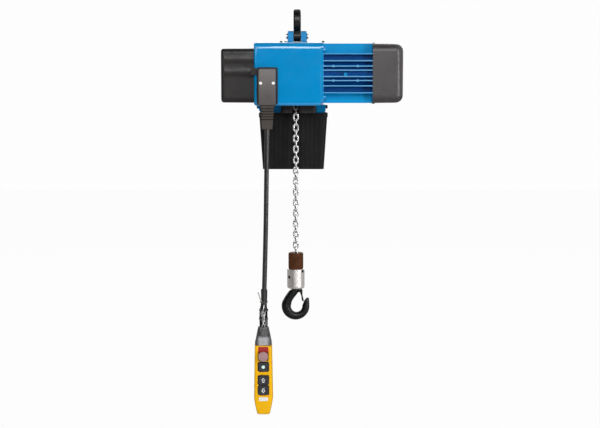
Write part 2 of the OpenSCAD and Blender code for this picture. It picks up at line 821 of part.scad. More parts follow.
module end_shield() {
  inner = motor_size - 2 * cover_wall;
  color(blue) difference() {
    union() {
      along_x(motor_x1, shield_t) translate([motor_y, motor_z]) {
        rounded(inner - 16, inner - 16, 16, 16);
        for (s = [-1, 1]) translate([s * cowl_screw_y - 12, -inner / 2 + 0.1]) square([24, inner - 0.2]);
      }
      rod_x(motor_x1 - hub_t, hub_t + 1, rear_race + 16, motor_y, motor_z);
      ring_x(motor_x1 - 6, 7, 2 * stator_r, 2 * stator_r - 10, motor_y, motor_z);
    }
    rod_x(motor_x1 - hub_t + 2, 11, rear_race, motor_y, motor_z);
    rod_x(motor_x1 - hub_t - 1, 30, rear_seat + 6, motor_y, motor_z);
    for (s = [-1, 1], t = [-1, 1])
      rod_z(motor_z + t * motor_size / 2 - 12, 24, screw_d + 2 * fit, cowl_screw_x, s * cowl_screw_y);
  }
}

module brake_coil() {
  color(dark) {
    ring_x(coil_x0, coil_t, 108, 44, motor_y, motor_z);
    for (k = [0 : 2]) rotate_about_motor(k * 120 + 30) rod_x(shield_x1, coil_gap, 8, 48, 0);
    difference() {
      ring_x(disc_x0 + disc_t + 0.4, 5.5, 108, 40, motor_y, motor_z);
      for (k = [0 : 2]) rotate_about_motor(k * 120 + 30) rod_x(shield_x1, coil_gap, 9, 48, 0);
    }
  }
}
module rotate_about_motor(a) { translate([0, motor_y, motor_z]) rotate([a, 0, 0]) children(); }

module fan_cowl() {
  inner = motor_size - 2 * cover_wall;
  grid_r = motor_size / 2 - 20.5;
  slot = 5;
  color(dark) difference() {
    translate([0, motor_y, motor_z])
      end_box(motor_x1, cowl_x1, motor_size, motor_size, cowl_corner, cowl_round, cowl_draft);
    translate([0, motor_y, motor_z])
      end_box(motor_x1 - 1, cowl_x1 - cover_wall, inner, inner, cowl_corner - cover_wall,
              cowl_round - cover_wall, cowl_draft);
    // air slots of the end wall
    for (k = [-5 : 5]) {
      z = 2.2 * slot * k;
      reach = sqrt(grid_r * grid_r - z * z);
      translate([cowl_x1 - cover_wall - 3, motor_y - reach, motor_z + z - slot / 2])
        cube([9, 2 * reach, slot]);
    }
    for (s = [-1, 1], t = [-1, 1])
      rod_z(motor_z + t * motor_size / 2 - 6, 12, screw_d + 2 * fit, cowl_screw_x, s * cowl_screw_y);
  }
}

module cowl_screws() {
  color(black) for (s = [-1, 1], t = [0, 180])
    translate([cowl_screw_x, s * cowl_screw_y, motor_z]) rotate([t, 0, 0]) {
      rod_z(motor_size / 2, 2.2, 2 * screw_d, 0, 0);
      rod_z(motor_size / 2 - 10, 10, screw_d, 0, 0);
    }
}

module plug_socket() {
  color(black) difference() {
    union() {
      along_y(base_y0, base_t) translate([plug_x, plug_mid + plug_rim - 1])
        rounded(plug_w + 2 * plug_rim, plug_h, plug_r, plug_r);
      along_y(house_front, house_wall + 12) translate([plug_x, contact_z]) rounded(pins_w, pins_h, 4, 4);
    }
    for (s = [-1, 1]) {
      rod_y(base_y0 - 1, base_t + 2, screw_d + 2 * fit, plug_x + s * plug_screw_x, plug_screw_z);
      for (k = [-2 : 2])
        rod_y(base_y0 - 1, 14, pins_w / 7, plug_x + s * pins_w / 5, contact_z + k * pins_h / 6);
    }
  }
}

// Face of the plug at one depth, drawn in by an inset.
module plug_face(y, inset, r) {
  along_y(y, 0.2) translate([plug_x, plug_mid])
    rounded(plug_w - 2 * inset, plug_h - 2 * inset, r, r, $fn = 32);
}

module control_plug() {
  wall = 5;
  color(grey) difference() {
    hull() {
      plug_face(base_y0 - 0.2, 0, plug_r);
      plug_face(plug_y0 + 4, 0.5, plug_r);
      plug_face(plug_y0 + 1, 2, plug_r);
      plug_face(plug_y0, 4, 3);
    }
    along_y(plug_y0 + wall + 3, plug_d) translate([plug_x, plug_mid - 3])
      rounded(plug_w - 2 * wall, plug_h - 2 * wall - 8, 3, 3);
    for (s = [-1, 1])
      rod_y(plug_y0 - 1, wall + 7, screw_d + 2 * fit, plug_x + s * plug_screw_x, plug_screw_z);
    rod_z(plug_bot - 1, 20, cable_d + 2 * run, plug_x, cable_y);
  }
}

module plug_screws() {
  head_t = 2.4;
  color(steel) for (s = [-1, 1]) translate([plug_x + s * plug_screw_x, 0, plug_screw_z]) {
    difference() {
      rod_y(plug_y0 - head_t, head_t, 2 * screw_d, 0, 0);
      translate([-0.6, plug_y0 - head_t - 1, -screw_d]) cube([1.2, 2, 2 * screw_d]);
    }
    rod_y(plug_y0, plug_d + base_t + house_wall - 1, screw_d, 0, 0);
  }
}

module plug_boot() {
  grooves = 5;
  groove_pitch = 7.3;
  groove_w = 2.8;
  groove_depth = 3;
  boot_w = 41;
  boot_d = 29;
  mouth_w = 27.5;
  slope = (boot_w - mouth_w) / boot_h;
  color(grey) difference() {
    union() {
      intersection() {
        along_y(cable_y - 20, 40)
          polygon([[plug_x - boot_w / 2, plug_bot], [plug_x + boot_w / 2, plug_bot],
                   [plug_x + mouth_w / 2, boot_bot], [plug_x - mouth_w / 2, boot_bot]]);
        along_z(boot_bot, boot_h) translate([plug_x, cable_y]) rounded(boot_w, boot_d, 8, 8);
      }
      along_z(boot_bot, 3) translate([plug_x, cable_y]) rounded(mouth_w + 2, boot_d - 1, 9, 9);
    }
    for (k = [0 : grooves - 1]) let (drop = 6 + groove_pitch * k)
      along_z(plug_bot - drop - groove_w, groove_w) translate([plug_x, cable_y]) difference() {
        square([boot_w + 10, boot_d + 10], center = true);
        rounded(boot_w - slope * drop - 2 * groove_depth, boot_d - 2 * groove_depth, 7, 7);
      }
    rod_z(boot_bot - 1, boot_h + 2, cable_d + 2 * run, plug_x, cable_y);
    translate([plug_x, cable_y, boot_bot - 0.01]) cylinder(h = 3, d1 = cable_d + 4, d2 = cable_d);
  }
}

// Frame of the cable, which leans a little: its origin is the mouth of the pendant's boot.
cable_lean = atan2(pendant_shift, cable_len);
cable_top = norm([pendant_shift, cable_len]);
cable_foot = 41;
module on_cable() {
  translate([pendant_x, cable_y, pendant_boot_top]) rotate([0, cable_lean, 0]) children();
}

// The cable's rounded upper end turns in the mouth of the plug's boot.
module pendant_cable() {
  color(black) on_cable() rotate_extrude() {
    translate([0, -cable_foot]) square([cable_d / 2, cable_foot + cable_top]);
    translate([0, cable_top]) intersection() {
      circle(d = cable_d);
      square(cable_d);
    }
  }
}

tie_zs = [76, 44, 20];
wire_d = 3;
wire_x = cable_d / 2 + wire_d / 2 + 1.6;
wire_top = 104;
module strain_wires() {
  color(steel) on_cable() for (s = [-1, 1]) {
    rod_z(-8, wire_top + 8, wire_d, s * wire_x, -1);
    translate([s * wire_x, -1, wire_top]) cylinder(h = 1, d1 = wire_d, d2 = wire_d - 1.4);
  }
}

module cable_ties() {
  hold = 2 * wire_x + wire_d + 0.4;
  color(black) on_cable() {
    for (z = tie_zs) difference() {
      along_z(z, 5) rounded(hold + 2.4, cable_d + 7, 6, 6);
      along_z(z - 1, 7) rounded(hold, cable_d + 4.4, 5, 5);
    }
    translate([-wire_x, -cable_d / 2 - 3.2, tie_zs[0] + 1]) rotate([0, -13, 0])
      translate([-2, -1.2, 0]) cube([4, 1.4, 34]);
  }
}

module pendant_boot() {
  color(dark) difference() {
    union() {
      hull() {
        along_z(pendant_top + 8, 0.2) translate([pendant_x, cable_y]) rounded(45, 36, 10, 10, $fn = 32);
        rod_z(pendant_boot_top - 0.2, 0.2, 29, pendant_x, cable_y, $fn = 32);
      }
      along_z(pendant_top, 9) translate([pendant_x, cable_y]) rounded(46, 38, 10, 10);
      for (s = [-1, 1]) rod_y(cable_y - 15.5, 6, 7, pendant_x + s * 14, pendant_top + 27);
    }
    on_cable() {
      rod_z(-cable_foot - 1, cable_foot + 20, cable_d + 2 * fit, 0, 0);
      for (s = [-1, 1]) rod_z(-9, 20, wire_d + 2 * fit, s * wire_x, -1);
    }
  }
}

// Outline of the pendant in XZ: half widths from its top to its rounded end.
foot_from = 0.76;
foot_taper = 9;
foot_round = 3.5;
function half_width(f) = f < foot_from ? (pendant_top_w + (pendant_w - pendant_top_w) * f / foot_from) / 2
  : pendant_w / 2 - foot_taper * pow((f - foot_from) / (1 - foot_from), 1.3)
    - foot_round * pow(max(f - 0.98, 0) / 0.02, 2);
pendant_steps = [0, 0.25, 0.5, 0.76, 0.8, 0.85, 0.9, 0.95, 0.98, 0.993, 1];
function side(s, inset) = [for (f = pendant_steps)
  [s * (half_width(f) - inset), -inset - f * (pendant_h - 2 * inset)]];
function turned(v) = [for (i = [len(v) - 1 : -1 : 0]) v[i]];
module pendant_outline(inset) {
  translate([pendant_x, pendant_top]) polygon(concat(side(1, inset), turned(side(-1, inset))));
}
module key_figure(z, grow) {
  translate([pendant_x, z]) rounded(button_w + 2 * grow, button_h + 2 * grow, button_r, button_r);
}

module pendant_front() {
  color(yellow) difference() {
    hull() {
      along_y(cable_y - 0.2, 0.2) pendant_outline(0);
      along_y(pendant_front_y + 6, 0.2) pendant_outline(0.6);
      along_y(pendant_front_y + 1.6, 0.2) pendant_outline(2.6);
      along_y(pendant_front_y, 0.2) pendant_outline(6.5);
    }
    along_y(key_seat_y, pendant_d) pendant_outline(shell_t + 3);
    // recessed fields around the two groups of keys
    for (pair = [[stop_z, start_z], [up_z, down_z]]) along_y(pendant_front_y - 1, recess + 1)
      translate([pendant_x, (pair[0] + pair[1]) / 2])
        rounded(field_w, pair[0] - pair[1] + field_w, button_r + 1, button_r + 1);
    rod_y(pendant_front_y - 1, 12, stop_stem + 2 * key_gap, pendant_x, stop_z);
    for (z = [start_z, up_z, down_z]) along_y(pendant_front_y - 1, 12) key_figure(z, key_gap);
    for (s = [-1, 1], z = post_zs) rod_y(cable_y - 12, 13, post_d + 2 * fit, pendant_x + s * post_x, z);
  }
}

module pendant_back() {
  color(yellow) difference() {
    hull() {
      along_y(cable_y + 0.05, 0.2) pendant_outline(0);
      along_y(pendant_back_y - 6, 0.2) pendant_outline(0.6);
      along_y(pendant_back_y - 1.8, 0.2) pendant_outline(2.6);
      along_y(pendant_back_y - 0.2, 0.2) pendant_outline(6.5);
    }
    along_y(cable_y - 1, pendant_d / 2 - shell_t + 1) pendant_outline(shell_t + 3);
    for (s = [-1, 1], z = post_zs) rod_y(cable_y - 1, pendant_d, post_d + 2 * fit, pendant_x + s * post_x, z);
  }
}

module pendant_screws() {
  color(steel) for (s = [-1, 1], z = post_zs) {
    rod_y(cable_y - 10, pendant_d / 2 + 10, post_d, pendant_x + s * post_x, z);
    rod_y(pendant_back_y, 1.8, 2 * post_d, pendant_x + s * post_x, z);
  }
}

module contact_blocks() {
  block_y = key_seat_y + plunger_l + press + 1;
  w = button_w - 4;
  h = button_h - 4;
  color(dark) for (z = [stop_z, start_z, up_z, down_z]) translate([pendant_x, block_y, z]) difference() {
    translate([-w / 2, 0, -h / 2]) cube([w, pendant_back_y - shell_t - block_y - 0.2, h]);
    for (s = [-1, 1]) rod_z(-h, 2 * h, post_d, s * w / 4, w / 4);
  }
}

module key(z) {
  difference() {
    union() {
      along_y(key_y0, key_seat_y - key_y0 + 1) key_figure(z, 0);
      along_y(key_seat_y + 0.1, 2) key_figure(z, key_rim);
      rod_y(key_seat_y, plunger_l, plunger_d, pendant_x, z);
    }
    translate([pendant_x, key_y0 - dish_r + 0.8, z]) sphere(r = dish_r, $fn = 96);
  }
}
module start_button() { color(dark) key(start_z); }
module up_button() { color(dark) key(up_z); }
module down_button() { color(dark) key(down_z); }

module stop_button() {
  head_d = 27;
  color(red) union() {
    translate([pendant_x, pendant_front_y - 5.6, stop_z]) rotate([90, 0, 0]) rotate_extrude() {
      square([head_d / 2, 5]);
      square([head_d / 2 - 2, 7]);
      translate([head_d / 2 - 2, 5]) circle(2);
    }
    rod_y(pendant_front_y - 5.7, key_seat_y - pendant_front_y + 7, stop_stem, pendant_x, stop_z);
    rod_y(key_seat_y + 0.1, 2, stop_stem + 4, pendant_x, stop_z);
    rod_y(key_seat_y, plunger_l, plunger_d, pendant_x, stop_z);
  }
}

module motor_shaft() {
  race_x0 = flange_x + lip;
  color(steel) {
    gear_x(pinion_x0, pinion_t, teeth_pinion, module_1, motor_y, motor_z, angle_1);
    rod_x(pinion_x0 + pinion_t - 1, race_x0 - pinion_x0 - pinion_t + 1, 12, motor_y, motor_z);
    rod_x(race_x0, flange_t - lip, motor_seat, motor_y, motor_z);
    rod_x(motor_x0, motor_len - hub_t, motor_seat + 4, motor_y, motor_z);
    rod_x(motor_x1 - hub_t, shaft_end - motor_x1 + hub_t, rear_seat, motor_y, motor_z);
  }
}

module rotor_core() {
  color(alu) difference() {
    union() {
      rod_x(stator_x0, stator_len, 2 * rotor_r, motor_y, motor_z);
      for (x = [stator_x0 - 6, stator_x0 + stator_len]) rod_x(x, 6, 2 * rotor_r - 6, motor_y, motor_z);
    }
    rod_x(stator_x0 - 10, stator_len + 20, motor_seat + 4 + 2 * fit, motor_y, motor_z);
  }
}

module fan() {
  blades = 7;
  fan_hub = 36;
  fan_d = 124;
  color(dark) difference() {
    union() {
      rod_x(fan_x0, fan_t, fan_hub, motor_y, motor_z);
      rod_x(fan_x0, 2.5, fan_d, motor_y, motor_z);
      for (k = [0 : blades - 1]) rotate_about_motor(k * 360 / blades)
        translate([fan_x0 + 1, fan_hub / 2 - 2, -1.25]) cube([fan_t - 3, (fan_d - fan_hub) / 2, 2.5]);
    }
    rod_x(fan_x0 - 1, fan_t + 2, rear_seat + 2 * fit, motor_y, motor_z);
  }
}

module brake_disc() {
  color(grey) difference() {
    rod_x(disc_x0, disc_t, 86, motor_y, motor_z);
    rod_x(disc_x0 - 1, disc_t + 2, rear_seat + 2 * fit, motor_y, motor_z);
    ring_x(disc_x0 - 1, 3, 50, 30, motor_y, motor_z);
    ring_x(disc_x0 + disc_t - 2, 3, 50, 30, motor_y, motor_z);
  }
}

module idler_shaft() {
  x0 = plate_x1 - idler_bearing_t + 0.3;
  x1 = flange_x + idler_bearing_t - 0.3;
  color(steel) {
    gear_x(plate_x1 + 1, out_gear_t + 2, teeth_pinion, module_2, idler_y, idler_z, angle_2);
    rod_x(x0, x1 - x0, idler_seat, idler_y, idler_z);
    rod_x(plate_x1 + out_gear_t + 3, flange_x - plate_x1 - out_gear_t - 4, idler_hub, idler_y, idler_z);
  }
}

module idler_gear() {
  color(steel) difference() {
    gear_x(idler_gear_x0, idler_gear_t, teeth_gear, module_1, idler_y, idler_z, angle_1 + half_tooth);
    rod_x(idler_gear_x0 - 1, idler_gear_t + 2, idler_hub + 2 * fit, idler_y, idler_z);
    for (x = [idler_gear_x0 - 1, idler_gear_x0 + idler_gear_t - 3]) ring_x(x, 4, 58, 32, idler_y, idler_z);
  }
}

module output_gear() {
  color(steel) difference() {
    gear_x(out_gear_x0, out_gear_t, teeth_gear, module_2, wheel_y, wheel_z, angle_2 + half_tooth);
    rod_x(out_gear_x0 - 1, out_gear_t + 2, out_seat + 2 * fit, wheel_y, wheel_z);
    for (x = [out_gear_x0 - 1, out_gear_x0 + out_gear_t - 3]) ring_x(x, 4, 72, 42, wheel_y, wheel_z);
  }
}

// Pocket for a flat link: the link's outline with clearance, cut outwards from the wheel.
module pocket() {
  clear = 0.6;
  r = link_r + chain_wire / 2 + clear;
  straight = 2 * (wire_off + chain_wire / 2 - link_r - chain_wire / 2);
  translate([chain_x, 0, flat_r - chain_wire / 2 - 0.9]) linear_extrude(40) {
    for (s = [-1, 1]) translate([0, s * straight / 2]) circle(r);
    translate([-r, -straight / 2]) square([2 * r, straight]);
  }
}

module load_wheel() {
  groove = chain_wire + 1.6;
  groove_r = upright_r - link_r - chain_wire / 2 - 0.6;
  color(steel) translate([0, wheel_y, wheel_z]) difference() {
    union() {
      rod_x(wheel_x0, wheel_w, 2 * wheel_out, 0, 0);
      rod_x(room_x0 - bearing_t + 1, plate_x1 - room_x0 + bearing_t - 0.5, wheel_seat, 0, 0);
      rod_x(plate_x1, out_gear_t + 3, out_seat, 0, 0);
    }
    ring_x(chain_x - groove / 2, groove, 2 * wheel_out + 2, 2 * groove_r, 0, 0);
    for (k = [0 : pockets - 1]) rotate([90 + link_step + k * 2 * link_step, 0, 0]) pocket();
  }
}

// One chain link standing along Z, its flat side in XZ.
module link() {
  straight = 2 * (link_half - arc_r);
  for (s = [-1, 1])
    translate([s * link_r, 0, -straight / 2]) cylinder(h = straight, d = chain_wire, $fn = 16);
  for (s = [-1, 1]) translate([0, 0, s * straight / 2]) rotate([90, 0, 0]) rotate([0, 0, s > 0 ? 0 : 180])
    rotate_extrude(angle = 180, $fn = 24) translate([link_r, 0]) circle(d = chain_wire, $fn = 16);
}

// Hanging links: every second one stands across the one above it.
// The chain hangs a little turned below the guide, and square on the wheel and the anchor pin.
chain_turn = 8;
function chain_twist(i) = min(i, chain_turn, hang_links - i);
module load_chain() {
  color(steel) for (i = [0 : hang_links])
    translate([chain_x, 0, wheel_z - i * chain_pitch])
      rotate([0, 0, 90 * ((i + 1) % 2) + chain_twist(i)]) link();
}

// Links around the wheel, then down the slack side and along the bucket's floor.
module slack_chain() {
  bend_r = 72;
  floor_z = bucket_bot + bucket_wall + link_r + chain_wire / 2 + 0.4;
  drop = wheel_z - floor_z - bend_r;
  arc = bend_r * PI / 2;
  pitch = chain_pitch - 0.6;
  count = floor((drop + arc) / pitch);
  color(steel) {
    for (k = [1 : pockets]) translate([chain_x, wheel_y, wheel_z]) rotate([-k * link_step, 0, 0])
      translate([0, -(k % 2 == 1 ? flat_r : upright_r), 0]) rotate([0, 0, k % 2 == 1 ? 0 : 90]) link();
    for (k = [1 : count]) {
      s = k * pitch;
      bend = min(max((s - drop) / arc, 0), 1) * 90;
      x = s < drop ? 0 : bend_r * (1 - cos(bend));
      z = s < drop ? -s : -drop - bend_r * sin(bend);
      translate([chain_x - x, slack_y, wheel_z + z]) rotate([0, bend, 0])
        rotate([0, 0, 90 * (k % 2)]) link();
    }
  }
}

module chain_buffer() {
  color(brown) difference() {
    union() {
      rod_z(block_top, buffer_h - 3, buffer_d, chain_x, 0);
      translate([chain_x, 0, buffer_top - 3]) cylinder(h = 3, d1 = buffer_d, d2 = buffer_d - 4);
    }
    rod_z(block_top - 1, buffer_h + 2, link_hole, chain_x, 0);
  }
}

// Screws of the block run along X, each from its own side: [side, y, height above the anchor].
block_holes = [[1, -screw_y, 5.5], [-1, -screw_y, -11], [1, screw_y, -11], [-1, screw_y, 5.5]];
module block_body() {
  lower_r = 5;
  difference() {
    translate([chain_x, 0, 0]) union() {
      rod_z(block_bot + lower_r, block_h - lower_r, block_d, 0, 0);
      translate([0, 0, block_bot]) rotate_extrude() {
        square([block_d / 2 - lower_r, lower_r + 1]);
        translate([block_d / 2 - lower_r, lower_r]) circle(lower_r);
      }
    }
    rod_z(anchor_z - 12, 40, link_hole - 1, chain_x, 0);
    rod_z(nest_bot, nest_top - nest_bot, nest_d, chain_x, 0);
    rod_z(block_bot - 1, 20, shank_d + 2 * run, chain_x, 0);
    rod_x(chain_x - 16, 32, anchor_d + 2 * fit, 0, anchor_z);
    for (h = block_holes) {
      rod_x(chain_x - 14, 28, 4 + 2 * fit, h[1], anchor_z + h[2]);
      rod_x(chain_x + (h[0] > 0 ? 11 : -31), 20, 7.4, h[1], anchor_z + h[2]);
    }
  }
}

module block_left() {
  color(alu) difference() {
    block_body();
    translate([chain_x, -50, block_bot - 10]) cube([60, 100, block_h + 20]);
  }
}

module block_right() {
  color(alu) difference() {
    block_body();
    translate([chain_x - 60, -50, block_bot - 10]) cube([60, 100, block_h + 20]);
  }
}

module block_screws() {
  color(dark) for (h = block_holes) translate([chain_x, 0, 0]) mirror([h[0] > 0 ? 0 : 1, 0, 0])
    cap_screw(11, h[1], anchor_z + h[2], 7, 4, 4, 24);
}

module anchor_pin() { color(steel) rod_x(chain_x - 15.5, 31, anchor_d, 0, anchor_z); }

module thrust_bearing() {
  color(steel) difference() {
    rod_z(nest_bot, thrust_t, nest_d - 2 * run, chain_x, 0);
    rod_z(nest_bot - 1, thrust_t + 2, shank_d + 4 * run, chain_x, 0);
    translate([0, 0, nest_bot + thrust_t / 2]) difference() {
      rod_z(-0.5, 1, nest_d + 2, chain_x, 0);
      rod_z(-1, 2, nest_d - 4, chain_x, 0);
    }
  }
}

// Hook: sections between an inner and an outer edge curve, from the shank round to the tip.
seat_r = seat_d / 2;
back_r = 39.5;
seat_c = [2, block_bot - 68.4 + seat_r];
back_c = [-1, block_bot - 51.5];
function around(c, r, a) = [c[0] + r * cos(a), c[1] + r * sin(a)];
seat_from = 172;
back_from = 158;
bowl_to = 365;
bowl_steps = 24;
// half width of the bowl's section, thinner towards the tip
function bowl_width(a) = 10.5 - 3.5 * max((a - 300) / 90, 0);
// each section: point on the inside, point on the back, half width
hook_sections = concat(
  [[[shank_d / 2 - 1, block_bot - 1], [1 - shank_d / 2, block_bot - 1], shank_d / 2 - 1],
   [[shank_d / 2 + 1, block_bot - 6], [-shank_d / 2 - 3.5, block_bot - 4], 9.5],
   [[6.2, block_bot - 13], [-18, block_bot - 7], 9.8],
   [[1.5, block_bot - 19.5], [-22, block_bot - 11.5], 10],
   [[-3.5, block_bot - 26], [-26.5, block_bot - 18], 10.3],
   [[-8.2, block_bot - 32.5], [-31, block_bot - 25], 10.5],
   [[-12, block_bot - 40], [-35, block_bot - 32], 10.5]],
  [for (i = [0 : bowl_steps]) let (a = seat_from + (bowl_to - seat_from) * i / bowl_steps,
                                   b = back_from + (bowl_to - back_from) * i / bowl_steps)
    [around(seat_c, seat_r, a), around(back_c, back_r, b), bowl_width(a)]],
  [[[20.3, block_bot - 44.5], [38.2, block_bot - 43], 7.6],
   [[22.8, block_bot - 38], [37.9, block_bot - 37], 6.8],
   [[26.2, block_bot - 32.6], [37.5, block_bot - 32.2], 5.7],
   [[29, block_bot - 29.4], [36.9, block_bot - 29.2], 4.4],
   [[31.3, block_bot - 27.5], [35.6, block_bot - 27.4], 3]]);
section_points = 24;
function hook_ring(s) = let (c = (s[0] + s[1]) / 2, h = (s[1] - s[0]) / 2)
  [for (k = [0 : section_points - 1]) let (a = k * 360 / section_points)
    [c[0] + h[0] * cos(a), s[2] * sin(a), c[1] + h[1] * cos(a)]];
module hook_body() {
  rings = len(hook_sections);
  n = section_points;
  points = [for (s = hook_sections) each hook_ring(s)];
  skin = [for (i = [0 : rings - 2], k = [0 : n - 1], t = [0, 1])
    t == 0 ? [i * n + k, (i + 1) * n + k, i * n + (k + 1) % n]
           : [i * n + (k + 1) % n, (i + 1) * n + k, (i + 1) * n + (k + 1) % n]];
  first = [for (k = [0 : n - 1]) k];
  last = [for (k = [n - 1 : -1 : 0]) (rings - 1) * n + k];
  polyhedron(points, concat(skin, [first, last]));
}

latch_x = 14.5;
latch_z = block_bot - 7.5;
latch_pin_d = 4;
latch_w = 13;
module hook() {
  color(black) translate([hook_x, 0, 0]) difference() {
    union() {
      hook_body();
      rod_z(block_bot - 5, nest_bot - block_bot + thrust_t + 5, shank_d, 0, 0);
      rod_z(block_bot, shank_top - block_bot, thread_d, 0, 0);
      // eye of the latch
      rod_y(-4, 8, 9, latch_x, latch_z);
      translate([0, -4, latch_z - 4]) cube([latch_x, 8, 7.5]);
    }
    rod_y(-20, 40, latch_pin_d + 2 * fit, latch_x, latch_z);
  }
}

module hook_nut() {
  color(steel) difference() {
    along_z(nest_bot + thrust_t + 0.1, nut_t) translate([hook_x, 0]) circle(d = nut_d, $fn = 6);
    rod_z(nest_bot, 40, thread_d + 2 * fit, hook_x, 0);
  }
}

// Sheet latch: two cheeks on the pin and a tongue that ends inside the hook's tip.
module latch() {
  reach = [21.6, block_bot - 36.5];
  length = norm([reach[0] - latch_x, reach[1] - latch_z]);
  lean = atan2(reach[0] - latch_x, latch_z - reach[1]);
  cheek_y = latch_w / 2 - 1;
  // outline of a cheek: an ear round the pin, then a flange that widens to the tip
  ear = 4.3;
  flange = [2.6, 4];
  cheek = [[-ear, -1], [ear, -1], [1, -14], [1, -length], [1 - flange[1], -length],
           [-flange[1], 6 - length], [-flange[0], -14]];
  color(steel) translate([hook_x + latch_x, 0, latch_z]) rotate([0, -lean, 0]) difference() {
    union() {
      for (s = [-1, 1]) {
        rod_y(s * cheek_y - 1, 2, 9, 0, 0);
        along_y(s * cheek_y - 1, 2) polygon(cheek);
      }
      translate([-1, -latch_w / 2, -length]) cube([2, latch_w, length - 6]);
    }
    rod_y(-20, 40, latch_pin_d + 2 * run, 0, 0);
  }
}

module latch_pin() { color(steel) rod_y(-8, 16, latch_pin_d, hook_x + latch_x, latch_z); }

suspension_eye();
suspension_pin();
pin_retainers();
gear_housing();
gearbox_plate();
motor_flange();
flange_bolts();
control_cover();
cover_screws();
control_panel();
contactors();
terminal_block();
mains_gland();
chain_guide();
chain_bucket();
bucket_bolts();
bearings();
motor_housing();
stator_core();
stator_winding();
end_shield();
brake_coil();
fan_cowl();
cowl_screws();
plug_socket();
control_plug();
plug_screws();
plug_boot();
pendant_cable();
strain_wires();
cable_ties();
pendant_boot();
pendant_front();
pendant_back();
pendant_screws();
contact_blocks();
motor_shaft();
rotor_core();
fan();
brake_disc();
idler_shaft();
idler_gear();
load_wheel();
output_gear();
load_chain();
slack_chain();
chain_buffer();
block_left();
block_right();
block_screws();
anchor_pin();
thrust_bearing();
hook();
hook_nut();
latch();
latch_pin();
stop_button();
start_button();
up_button();
down_button();
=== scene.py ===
"""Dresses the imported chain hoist: cable, chain and small pieces, finishes, light and camera."""
import json
import math

import bpy
from mathutils import Matrix, Vector

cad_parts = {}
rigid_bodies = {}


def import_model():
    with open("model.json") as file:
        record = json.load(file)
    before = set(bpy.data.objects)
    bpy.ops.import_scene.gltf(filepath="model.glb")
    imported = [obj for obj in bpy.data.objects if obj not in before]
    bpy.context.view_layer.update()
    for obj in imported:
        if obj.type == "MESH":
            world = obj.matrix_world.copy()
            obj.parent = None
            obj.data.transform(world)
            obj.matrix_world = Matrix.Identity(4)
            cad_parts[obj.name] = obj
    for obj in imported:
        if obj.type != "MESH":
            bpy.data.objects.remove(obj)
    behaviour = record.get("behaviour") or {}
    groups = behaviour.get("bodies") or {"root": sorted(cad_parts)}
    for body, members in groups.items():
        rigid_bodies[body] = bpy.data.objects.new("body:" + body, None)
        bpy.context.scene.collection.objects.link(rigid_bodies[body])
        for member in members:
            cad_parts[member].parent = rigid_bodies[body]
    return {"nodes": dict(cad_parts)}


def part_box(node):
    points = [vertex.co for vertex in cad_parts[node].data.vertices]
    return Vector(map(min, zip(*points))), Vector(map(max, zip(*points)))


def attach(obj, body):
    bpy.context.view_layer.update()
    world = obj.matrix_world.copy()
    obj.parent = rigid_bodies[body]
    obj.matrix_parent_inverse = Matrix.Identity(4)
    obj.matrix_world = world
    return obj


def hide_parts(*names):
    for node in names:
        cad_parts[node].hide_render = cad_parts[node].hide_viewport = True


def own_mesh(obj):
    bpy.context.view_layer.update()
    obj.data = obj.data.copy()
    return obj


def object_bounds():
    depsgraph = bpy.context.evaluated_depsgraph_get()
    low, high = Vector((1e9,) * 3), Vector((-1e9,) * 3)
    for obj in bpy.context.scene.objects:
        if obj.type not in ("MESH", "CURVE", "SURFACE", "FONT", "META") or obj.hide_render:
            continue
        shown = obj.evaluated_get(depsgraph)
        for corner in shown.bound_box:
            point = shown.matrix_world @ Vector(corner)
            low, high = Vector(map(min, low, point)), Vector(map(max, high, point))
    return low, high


for leftover in list(bpy.data.objects):
    bpy.data.objects.remove(leftover)

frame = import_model()
cad_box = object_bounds()
nodes = frame["nodes"]
scene = bpy.context.scene
scene.view_settings.view_transform = "Standard"


def mm(x, y, z):
    """A point given in millimetres."""
    return Vector((x, y, z)) * 0.001


def middle(node):
    """Centre of a node's box."""
    low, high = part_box(node)
    return (Vector(low) + Vector(high)) / 2


# Camera, at the photograph's viewing angle

CAMERA_PLACE = Vector((0.0082, -3.50, -0.15))
CAMERA_AIM = Vector((0.0077, 0, -0.538))
LENS = 75
SENSOR_W = 36

camera = bpy.data.objects.new("camera", bpy.data.cameras.new("camera"))
scene.collection.objects.link(camera)
camera.data.lens = LENS
camera.data.sensor_width = SENSOR_W
camera.location = CAMERA_PLACE
camera.rotation_euler = (CAMERA_AIM - CAMERA_PLACE).to_track_quat("-Z", "Y").to_euler()
scene.camera = camera


# Mesh helpers

def piece(name, verts, faces, body, smooth=True):
    """A mesh object made of these faces, riding on a body of the frame."""
    mesh = bpy.data.meshes.new(name)
    mesh.from_pydata([tuple(v) for v in verts], [], faces)
    mesh.validate()
    if smooth:
        mesh.shade_smooth()
    obj = bpy.data.objects.new(name, mesh)
    scene.collection.objects.link(obj)
    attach(obj, body)
    return obj


def joined(parts):
    """Several (vertices, faces) pairs as one."""
    verts, faces = [], []
    for part_verts, part_faces in parts:
        base = len(verts)
        verts += part_verts
        faces += [tuple(base + i for i in face) for face in part_faces]
    return verts, faces


def moved(part, matrix):
    """A (vertices, faces) pair carried by a matrix."""
    verts, faces = part
    return [matrix @ v for v in verts], faces


